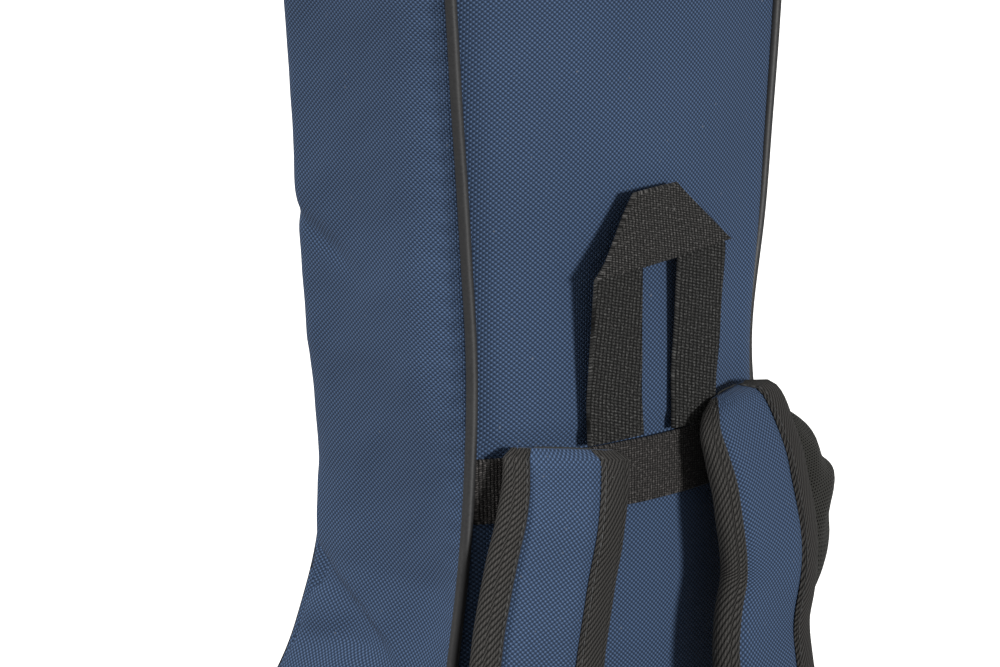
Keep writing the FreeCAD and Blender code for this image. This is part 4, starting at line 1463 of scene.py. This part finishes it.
@dataclass
class HangLoop:
    """Webbing loop: two legs out of the band, folded over at two corners into a flat top."""

    hinge_y: float = -82.0
    hinge_z: float = 617.0
    lean: float = math.radians(4.6)
    middle_x: float = 4.0
    twist: float = 0.07
    top_back: float = 4.5

    def placed(self, x: np.ndarray, up: np.ndarray, out: np.ndarray) -> np.ndarray:
        """From the loop's own plane to the bag: leaning out above the hinge, upright below it.

        It twists as it rises, so that its left side stands out, and its top lies back a little.
        """
        rise = np.asarray(up, float) - self.hinge_z
        turned = self.twist * (x - self.middle_x) * np.clip(rise / 50, 0, 1.3)
        out = out - turned - self.top_back * smooth(rise, 50, 82)
        lean = self.lean * smooth(rise, -12, 16)
        y = self.hinge_y - rise * np.sin(lean) * (rise > 0) - out * np.cos(lean)
        z = self.hinge_z + rise * np.where(rise > 0, np.cos(lean), 1) - out * np.sin(lean)
        return np.stack([x, y, z], -1)

    def quad(self, parts: MeshParts, corners: tuple, out: float, thick: float, bow: float,
             slot: int = 0) -> None:
        """A four-sided length of webbing, bilinear between its corners.

        Args:
            parts: where it goes.
            corners: lower left, lower right, upper right, upper left in the loop's plane.
            out: how far it lies in front of the plane.
            thick: its thickness.
            bow: how far its middle stands out.
            slot: which of the piece's materials it has.
        """
        u = np.linspace(0, 1, 14)
        v = np.linspace(0, 1, 34)
        grid_u, grid_v = np.meshgrid(u, v, indexing="ij")
        a, b, c, d = (np.array(corner, float) for corner in corners)
        g, h = grid_u[..., None], grid_v[..., None]
        flat = (a * (1 - g) + b * g) * (1 - h) + (d * (1 - g) + c * g) * h
        lift = out + bow * np.sin(math.pi * grid_u) + 0.25 * ripple(flat[..., 0], flat[..., 1], 21, 17)
        face = self.placed(flat[..., 0], flat[..., 1], lift)
        normals = np.broadcast_to([0.0, -math.cos(self.lean), -math.sin(self.lean)], face.shape)
        slab(parts, face, normals, flat * MM, thick, slot)

    def build(self) -> None:
        """Make the loop's two legs, which run down to the band, and its folded top."""
        parts = MeshParts()
        self.quad(parts, ((-29.6, 602), (-2.4, 602), (-10.0, 693), (-32.8, 667)), 0.0, WEB_THICK, 0.3)
        self.quad(parts, ((13.6, 602), (34.6, 602), (38.2, 670), (12.5, 693)), 0.0, WEB_THICK, 0.5)
        # The folded top gets the lighter copy of the webbing, painted light.
        self.quad(parts, ((-33.2, 668.6), (38.6, 672.6), (11.2, 697.4), (-12.6, 697.0)), 2.3, 1.9, 0.4, 1)
        piece = parts.build("hang_loop_webbing", "webbing_black", "webbing_fold_lit")
        start, end = ((self.middle_x, self.hinge_y, z) for z in (self.hinge_z - 10, self.hinge_z + 9))
        settle_between(
            piece, ("root", "hang_loop"), start, end, "webbing_black", "hang_loop", "hang_loop_tails",
        )


@dataclass
class AnchorTab:
    """Doubled webbing square sewn to the back near the base; a strap's lower end goes into it."""

    side: str
    x: float
    z: float = 58.0

    def build(self) -> None:
        """Make the tab with a boxed cross of stitches."""
        across = np.linspace(-15.2, 15.2, 12)
        up = np.linspace(self.z - 17.2, self.z + 5.2, 10)
        grid_x, grid_z = np.meshgrid(self.x + across, up, indexing="ij")
        y = BAG.crowned(grid_x, grid_z) - 1.1
        face = np.stack([grid_x, y, grid_z], -1)
        normals = np.broadcast_to([0.0, -1.0, 0.0], face.shape)
        parts = MeshParts()
        slab(parts, face, normals, np.stack([grid_x, grid_z], -1) * MM, WEB_THICK + 0.4)
        self.cross(parts, face)
        piece = parts.build(f"lower_tab_{self.side}", "webbing_black", "thread_black")
        settle(piece, "root", "webbing_black", f"lower_anchor_tab_{self.side}")

    @staticmethod
    def cross(parts: MeshParts, face: np.ndarray, lift: float = 1.05) -> None:
        """Stitches round a face and from corner to corner."""
        low, high = face[1, 1], face[-2, -2]
        corners = [low, face[-2, 1], high, face[1, -2], low]
        outward = unit(np.cross(face[-2, 1] - low, face[1, -2] - low))
        outward = outward if outward @ np.array([face.mean((0, 1))[0] * 0.01, -1, 0]) > 0 else -outward
        for a, b in [*zip(corners, corners[1:]), (low, high), (face[-2, 1], face[1, -2])]:
            path = np.linspace(a, b, 8) + outward * lift
            stitch_row(parts, path, np.broadcast_to(outward, path.shape), 2.8, 0.4, slot=1)


# Shoulder straps --------------------------------------------------------------------------------

@dataclass
class ShoulderStrap:
    """Padded strap: cloth face, mesh back, tape round its edges, buckle and lower webbing."""

    side: str
    stations: tuple
    half: float = 23.9
    edge: float = 3.2
    tape_reach: float = 13.6
    slim: float = 4.2
    corner: float = 4.0

    def frames(self) -> tuple[np.ndarray, np.ndarray]:
        """Middle line and (forward, across, outward) directions along it."""
        line = spline(np.array(self.stations, float), 3.0)
        path, turn = line[:, :3], np.radians(line[:, 3])
        facing = np.stack([-np.sin(turn), -np.cos(turn), 0 * turn], 1)
        forward = unit(np.gradient(path, axis=0))
        outward = unit(facing - forward * (facing * forward).sum(1, keepdims=True))
        return path, np.stack([forward, np.cross(forward, outward), outward], 1)

    def face_height(self, across: np.ndarray) -> np.ndarray:
        """Padding's half thickness: full in the middle, pinched by the tape's stitches and at the edge."""
        u = np.clip(np.abs(across) / self.half, 0, 1)
        full = self.edge + 3.3 * np.sqrt(np.clip(1 - u**3.2, 0, 1))
        deep, wide = 0.9, 2.2
        pinched = full - deep * hill(across, self.tape_reach + self.slim, wide)
        return pinched - deep * hill(-across, self.tape_reach, wide)

    def loop(self) -> np.ndarray:
        """The padding's section (across, outward): face, round edge, back, round edge."""
        face = np.linspace(-self.half, self.half, 45)
        turn = np.linspace(math.pi / 2, -math.pi / 2, 9)[1:-1]
        right = np.stack([self.half + self.edge * np.cos(turn) * 0.9, self.edge * np.sin(turn)], 1)
        top = np.stack([face, self.face_height(face)], 1)
        back = np.stack([face[::-1], -self.face_height(face[::-1])], 1)
        left = -right
        return np.vstack([top, right, back, left])

    def lay(self, section: np.ndarray, path: np.ndarray, axes: np.ndarray,
            squeeze: np.ndarray) -> np.ndarray:
        """Carry a section along the strap.

        It thins towards its inner side by squeeze, and narrows round the corners of its two ends.
        """
        along = lengths_along(path)
        to_end = np.clip(np.minimum(along, along[-1] - along) / self.corner, 0, 1)
        narrow = 1 - self.corner * (1 - np.sqrt(1 - (1 - to_end) ** 2)) / self.half
        narrow = narrow * (1 - 0.05 * (1 - smooth(along, 0, 70)))
        across = axes[:, None, 1] * section[None, :, :1] * narrow[:, None, None]
        height = (section[None, :, 1:] + 6.5) * squeeze[:, None, None] - 6.5
        return path[:, None] + across + axes[:, None, 2] * height

    def build(self) -> None:
        """Make the pad, mesh back, edge tape and webbing, and dress the buckle."""
        path, axes = self.frames()
        along = lengths_along(path)
        to_end = np.minimum(along, along[-1] - along)
        squeeze = (0.2 + 0.8 * np.sqrt(1 - (1 - np.clip(to_end / 7.0, 0, 1)) ** 2)) * (
            0.62 + 0.38 * smooth(along, 0, 34)
        )
        loop = self.loop()
        points = self.lay(loop, path, axes, squeeze)
        waves = 0.35 * ripple(along[:, None], loop[None, :, 0], 45, 5)
        points = points + axes[:, None, 2] * (waves * (np.abs(loop[:, 0]) < self.tape_reach))[..., None]
        girth = lengths_along(np.vstack([loop, loop[:1]]))
        parts = MeshParts()
        parts.grid(points, metric_uv(along, girth), (False, True))
        for end in (0, -1):
            cap(parts, points[end], path[len(path) // 2])
        body = f"strap_{self.side}"
        piece = parts.build(f"{body}_pad", "shell_blue")
        settle(piece, body, "shell_blue", f"{body}_foam", f"{body}_cover")
        self.add_lining(path, axes, squeeze, along)
        self.add_tape(path, axes, squeeze, along)
        self.add_webbing()

    def add_lining(self, path: np.ndarray, axes: np.ndarray, squeeze: np.ndarray,
                   along: np.ndarray) -> None:
        """Mesh cloth on the inner side, a little slack and wrinkled."""
        across = np.linspace(-self.tape_reach - 1.5, self.tape_reach + 1.5, 24)
        section = np.stack([across, -self.face_height(across) - 0.45], 1)
        face = self.lay(section, path, axes, squeeze)
        wrinkle = 0.45 * (1 + ripple(along[:, None], 2.2 * across[None], 30, 6))
        face = face - axes[:, None, 2] * (wrinkle * smooth(16.5 - np.abs(across), 0, 5)[None])[..., None]
        uv = metric_uv(along, across)
        parts = MeshParts()
        slab(parts, face, -np.broadcast_to(axes[:, None, 2], face.shape), uv, 0.8)
        if self.side == "right":
            self.add_bunch(parts, path, axes)
        body = f"strap_{self.side}"
        piece = parts.build(f"{body}_mesh", "mesh_lining")
        settle(piece, body, "mesh_lining", f"{body}_lining")

    @staticmethod
    def add_bunch(parts: MeshParts, path: np.ndarray, axes: np.ndarray) -> None:
        """Slack mesh that has bunched up and pokes out beyond the outer edge near the top.

        A long lobe whose size swells and falls along it, with folds across.
        """
        low, high = 522, 596
        near = (path[:, 2] > low) & (path[:, 2] < high)
        line, frame_axes = path[near], axes[near]
        fine = spaced(np.hstack([line, frame_axes.reshape(len(line), 9)]), 1.6)
        line, frame_axes = fine[:, :3], fine[:, 3:].reshape(-1, 3, 3)
        t = np.linspace(0, 1, len(line))
        angle = np.linspace(0, TAU, 40, endpoint=False)
        swell = np.sqrt(np.clip(1 - (2 * t - 1) ** 2, 0, 1)) ** 0.8
        swell = swell * (0.94 + 0.06 * np.sin(13 * t + 2.2)) * (1.1 - 0.25 * smooth(t, 0.5, 0.85))
        folds = 1 + 0.13 * np.sin(24 * t[:, None] + 3 * np.cos(angle)[None] + 1.0) * np.cos(angle)[None]
        folds = folds + 0.06 * ripple(60 * t[:, None], 14 * angle[None], 22, 44)
        across = -26.0 - 10.5 * swell[:, None] - 13.0 * swell[:, None] * np.cos(angle)[None] * folds
        outward = -7.5 + 9.0 * swell[:, None] * np.sin(angle)[None] * folds
        aside, forth = frame_axes[:, None, 1], frame_axes[:, None, 2]
        points = line[:, None] + aside * across[..., None] + forth * outward[..., None]
        uv = metric_uv(lengths_along(line), np.linspace(0, 60, len(angle) + 1))
        parts.grid(points, 2.1 * uv, (False, True))

    def add_tape(self, path: np.ndarray, axes: np.ndarray, squeeze: np.ndarray,
                 along: np.ndarray) -> None:
        """Woven tape folded round both edges and stitched down."""
        parts = MeshParts()
        body = f"strap_{self.side}"
        for sign in (1, -1):
            reach = self.tape_reach + (self.slim if sign > 0 else 0.0)
            top = np.linspace(reach, self.half, 12)
            turn = np.linspace(math.pi / 2, -math.pi / 2, 11)[1:-1]
            rim = np.stack([self.half + self.edge * np.cos(turn) * 0.9, self.edge * np.sin(turn)], 1)
            line = np.vstack([
                np.stack([top, self.face_height(sign * top)], 1), rim,
                np.stack([top[::-1], -self.face_height(sign * top[::-1])], 1),
            ])
            tangent = unit(np.gradient(line, axis=0))
            normal = np.stack([-tangent[:, 1], tangent[:, 0]], 1)
            place = lengths_along(line)
            lift = 1.15 * smooth(np.minimum(place, place[-1] - place), -0.5, 1.2) + 0.05
            section = (line + normal * lift[:, None]) * [sign, 1]
            points = self.lay(section, path, axes, squeeze)
            rub = 0.18 * ripple(along[:, None], place[None], 16, 7)
            points = points + axes[:, None, 2] * rub[..., None]
            uv = metric_uv(along, -sign * place)
            parts.grid(points, uv, away=points.mean((0, 1)))
            for side in (1, -1):
                inside = np.array([sign * (reach + 1.7)])
                spot = np.array([[inside[0], side * (self.face_height(inside)[0] + 1.15)]])
                row = self.lay(spot, path, axes, squeeze)[:, 0]
                stitch_row(parts, row, axes[:, 2] * side, 3.4, 0.36, slot=1)
        piece = parts.build(f"{body}_edging", "binding_tape", "thread_black")
        settle(piece, body, "binding_tape", f"{body}_binding")

    def add_webbing(self) -> None:
        """Webbing through the buckle and down to the tab, and the short loop that holds the buckle."""
        path, axes = self.frames()

        def beside(along: float, out: float) -> np.ndarray:
            """Point past the strap's end, in front of or behind the buckle's middle plane."""
            return path[-1] + axes[-1, 0] * along + axes[-1, 2] * out

        sign = -1 if self.side == "left" else 1
        start = path[-1] + axes[-1, 0] * 39.5
        foot_z = 66.0
        foot = np.array([sign * 150.0, float(BAG.crowned(np.array(150.0), np.array(foot_z))) - 3, foot_z])
        knee = start * 0.45 + foot * 0.55 + [0, -7, 0]
        spots = ((18.2, -0.6), (19.2, 2.6), (24.0, 3.1), (30.0, -0.8), (36.0, -3.2))
        threaded = [beside(*spot) for spot in spots]
        line = spline(np.array([*threaded, knee, foot + [0, 0.6, 0], foot + [sign * 1.0, 1.2, -12.0]]), 2.5)
        turn = math.radians(self.stations[-1][3])
        facing = np.broadcast_to([-math.sin(turn), -math.cos(turn), 0.0], line.shape)
        parts = MeshParts()
        strip(parts, line, facing, WEB_WIDTH, WEB_THICK)
        body = f"strap_{self.side}"
        piece = parts.build(f"{body}_lower_webbing", "webbing_black")
        settle_between(piece, ("root", body), foot, start, "webbing_black", f"{body}_webbing")
        there = ((-9, 0.9), (-2, 2.6), (3, 3.2), (6.2, 2.2))
        spots = (*there, (7.2, 0), *((along, -out) for along, out in reversed(there)))
        holder = spline(np.array([beside(*spot) for spot in spots]), 0.8)
        tangent = unit(np.gradient(holder, axis=0))
        parts = MeshParts()
        strip(parts, holder, unit(np.cross(axes[-1, 1], tangent)), WEB_WIDTH - 1.0, 1.3)
        loop = parts.build(f"{body}_buckle_loop", "webbing_black")
        settle(loop, body, "webbing_black")


STRAP_LEFT = (
    (-42, -85, 602, 16), (-45, -85.3, 583, 16), (-54.5, -86, 550, 16), (-63, -88.5, 516, 16),
    (-76, -97, 450, 14), (-88, -107, 380, 10), (-102, -111, 310, 8), (-114, -107, 245, 8),
    (-124, -97, 190, 10),
)
STRAP_RIGHT = (
    (43, -88.5, 613, -13), (49, -93.5, 575, -12), (52, -96, 545, -10), (46.5, -98, 510, -10),
    (55, -106, 450, -10), (77, -112, 380, -8), (97, -114, 310, -8), (112, -109, 245, -8),
    (124, -98, 190, -10),
)


# Handle, interior and base ----------------------------------------------------------------------

@dataclass
class CarryHandle:
    """Webbing handle on the right side with a soft grip, and the patches it is sewn to."""

    y: float = -3.0
    reach: float = 40.0
    low_z: float = 278.0
    high_z: float = 398.0

    def wall_x(self, z: float) -> float:
        """The outline's right side at one height."""
        return float(np.interp(z, BAG.line[:, 1], BAG.line[:, 0]))

    def build(self) -> None:
        """Make the webbing, grip and patches."""
        low, high = self.wall_x(self.low_z) + 3.0, self.wall_x(self.high_z) + 3.0
        corners = [
            (low - 0.2, self.low_z - 9), (low + 1.5, self.low_z + 1), (low + self.reach - 8, self.low_z + 14),
            (low + self.reach - 1.2, self.low_z + 24), ((low + high) / 2 + self.reach - 1.2, 338),
            (high + self.reach - 1.2, self.high_z - 24), (high + self.reach - 8, self.high_z - 14),
            (high + 1.5, self.high_z - 1), (high - 0.2, self.high_z + 9),
        ]
        path = spline(np.array([(x, self.y, z) for x, z in corners]), 3)
        forward = unit(np.gradient(path, axis=0))
        normals = np.cross(np.broadcast_to([0.0, 1.0, 0.0], path.shape), forward)
        parts = MeshParts()
        strip(parts, path, normals, WEB_WIDTH, 2.2)
        piece = parts.build("carry_handle_strap", "webbing_black")
        across = np.array([self.high_z - self.low_z, 0, low - high])
        across = across / np.linalg.norm(across)
        middle = np.array([(low + high) / 2, self.y, 338.0])
        settle_between(
            piece, ("root", "carry_handle"), middle + across, middle + across * 13, "webbing_black",
            "carry_handle_webbing",
        )
        self.add_grip(low, high)
        self.add_patches()

    def add_grip(self, low: float, high: float) -> None:
        """Oval moulded grip with shallow finger rings."""
        start = np.array([low + self.reach - 1.2, self.y, self.low_z + 24.5])
        stop = np.array([high + self.reach - 1.2, self.y, self.high_z - 24.5])
        t = np.linspace(0, 1, 60)
        path = start + (stop - start) * t[:, None]
        forward = unit(stop - start)
        side = np.array([0.0, 1.0, 0.0])
        outward = np.cross(side, forward)
        angle = np.linspace(0, TAU, 40, endpoint=False)
        oval = np.stack([np.sign(np.cos(angle)) * np.abs(np.cos(angle)) ** 0.75, np.sin(angle)], 1)
        end = np.sqrt(np.clip(1 - (1 - np.clip(np.minimum(t, 1 - t) * 18, 0, 1)) ** 2, 0, 1))
        size = (0.72 + 0.28 * end) * (1 - 0.035 * (0.5 + 0.5 * np.cos(TAU * t * 9)))
        points = (
            path[:, None] + side * (oval[None, :, :1] * 16.6 * size[:, None, None])
            + outward * (oval[None, :, 1:] * 7.8 * size[:, None, None])
        )
        parts = MeshParts()
        parts.grid(points, metric_uv(lengths_along(path), np.linspace(0, 80, 41)), (False, True))
        for ring in (0, -1):
            cap(parts, points[ring], path[30])
        piece = parts.build("carry_handle_soft_grip", "grip_rubber")
        settle(piece, "carry_handle", "grip_rubber", "carry_handle_grip")

    def add_patches(self) -> None:
        """Two webbing squares on the wall, each with a box of stitches round it."""
        parts = MeshParts()
        for z in (self.low_z, self.high_z):
            run = BAG.run_at(z) + np.linspace(-14, 14, 12)
            point, out = BAG.at(run)
            y = np.linspace(self.y - 15, self.y + 15, 12)
            flat = point + out * 1.5
            face = at_y(np.repeat(flat[:, None], len(y), 1), y)
            normals = np.broadcast_to(at_y(out, 0 * run)[:, None], face.shape)
            uv = metric_uv(run, y)
            slab(parts, face, normals, uv, 1.4)
            corner = [face[1, 1], face[-2, 1], face[-2, -2], face[1, -2]]
            for a, b in zip(corner, corner[1:] + corner[:1]):
                path = np.linspace(a, b, 8) + normals[6, 6] * 0.75
                stitch_row(parts, path, np.broadcast_to(normals[6, 6], path.shape), 2.8, 0.4, slot=1)
        piece = parts.build("handle_patches", "webbing_black", "thread_black")
        settle(piece, "root", "webbing_black", "handle_anchor_patches")


@dataclass
class Interior:
    """Neck rest with its tie strap, and the block under the guitar's end."""

    def build(self) -> None:
        """Make the three pieces inside their frame nodes' boxes."""
        for node, name, power, seed, fill in (
            ("neck_rest", "neck_rest_pillow", 0.34, 51, 0.8), ("end_bumper", "end_pillow", 0.3, 52, 0.9),
        ):
            low, high = node_box(node)
            parts = MeshParts()
            pillow(parts, low + 0.3, high - 0.3, power, seed)
            piece = parts.build(name, "lining_grey", merge=0.01)
            settle(piece, "root", "padding", node)
        low, high = node_box("neck_tie_strap")
        middle = (low + high) / 2
        path = spaced(np.array([[low[0], middle[1], middle[2]], [high[0], middle[1], middle[2]]]), 4)
        parts = MeshParts()
        strip(parts, path, np.broadcast_to([0.0, 1.0, 0.0], path.shape), high[2] - low[2], high[1] - low[1])
        piece = parts.build("tie_strap", "webbing_black")
        settle(piece, "root", "webbing_black", "neck_tie_strap")


def dress_frame_nodes() -> None:
    """Give the hard parts that are shown as they are their finishes."""
    finishes = {
        "slider": "zip_metal", "pull": "zip_metal", "ladder_lock": "buckle_plastic",
        "base_patch": "base_rubber",
    }
    for name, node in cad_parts.items():
        for key, finish in finishes.items():
            if key in name:
                node.data.materials.clear()
                node.data.materials.append(FINISH[finish])
                LOG.info("%s: %s", name, finish)


# Studio -----------------------------------------------------------------------------------------

@dataclass
class Studio:
    """Camera, floor and lights."""

    target: tuple = (-0.048, -0.052, 0.6426)
    azimuth: float = -42.0
    elevation: float = 13.0
    distance: float = 2.618
    lens: float = 250.0

    def camera(self) -> None:
        """A long lens that looks slightly down at the neck's foot from the strap side's left."""
        lens = bpy.data.cameras.new("camera")
        lens.lens = self.lens
        lens.sensor_width = 36.0
        lens.clip_start, lens.clip_end = 0.05, 200.0
        camera = put("camera", lens)
        a, e = math.radians(self.azimuth), math.radians(self.elevation)
        back = Vector((math.sin(a) * math.cos(e), -math.cos(a) * math.cos(e), math.sin(e)))
        camera.location = Vector(self.target) + back * self.distance
        camera.rotation_mode = "QUATERNION"
        camera.rotation_quaternion = (-back).to_track_quat("-Z", "Y")
        bpy.context.scene.camera = camera

    def floor(self) -> None:
        """A very wide pale floor."""
        mesh = bpy.data.meshes.new("floor")
        size = 45.0
        mesh.from_pydata(
            [(-size, -size, 0), (size, -size, 0), (size, size, 0), (-size, size, 0)], [], [(0, 1, 2, 3)]
        )
        material, n, shader = new_material("floor_white")
        place = n.add("ShaderNodeTexCoord").outputs["Object"]
        cloud = n.noise(place, 0.4, 2.0)
        n.join(n.mix(cloud, (0.93, 0.93, 0.925, 1), (0.95, 0.948, 0.94, 1)), shader.inputs["Base Color"])
        preset(shader, {"Roughness": 0.9, "Emission Color": (1.0, 1.0, 0.99, 1), "Emission Strength": 0.45})
        mesh.materials.append(material)
        floor = put("floor", mesh)
        floor.visible_diffuse = floor.visible_glossy = False

    def sun(self, name: str, towards: tuple, strength: float, angle: float, colour: tuple) -> None:
        """A soft distant light that shines from a direction."""
        light = bpy.data.lights.new(name, "SUN")
        light.energy = strength
        light.angle = math.radians(angle)
        light.color = colour
        lamp = put(name, light)
        lamp.rotation_mode = "QUATERNION"
        lamp.rotation_quaternion = Vector(towards).to_track_quat("Z", "Y")

    def build(self) -> None:
        """Set up the whole studio."""
        self.camera()
        self.floor()
        self.sun("key", (0.10, -0.98, 0.16), 3.1, 11.0, (1.0, 0.99, 0.97))
        self.sun("fill", (-0.76, 0.16, 0.63), 3.7, 24.0, (1.0, 0.985, 0.96))
        scene = bpy.context.scene
        world = bpy.data.worlds.new("studio")
        world.use_nodes = True
        preset(world.node_tree.nodes["Background"], {"Color": (1.0, 1.0, 1.0, 1), "Strength": 0.34})
        scene.world = world
        scene.view_settings.view_transform = "Standard"
        scene.view_settings.look = "None"


def main() -> None:
    """Build everything."""
    StrapSidePanel().build()
    SideWall().build()
    Welt().build()
    MainZip().build()
    Lid().build()
    Pocket(
        "body_pocket", ((-140, 48, 40), (140, 48, 40), (122, 334, 34), (-122, 334, 34)), BAG.body_front,
        30.0, ((-108, 308.2), (108, 308.2)),
    ).build()
    Pocket(
        "neck_pocket", ((-47, 640, 30), (47, 640, 30), (66, 925, 30), (-66, 925, 30)), BAG.neck_front, 25.0,
        ((0, 680), (0, 895)), 5.0,
    ).build()
    AnchorBand().build()
    HangLoop().build()
    AnchorTab("left", -150.0).build()
    AnchorTab("right", 150.0).build()
    ShoulderStrap("left", STRAP_LEFT).build()
    ShoulderStrap("right", STRAP_RIGHT, half=24.9, corner=14.0, slim=7.2).build()
    CarryHandle().build()
    Interior().build()
    dress_frame_nodes()
    Studio().build()


if __name__ == "__main__":
    main()
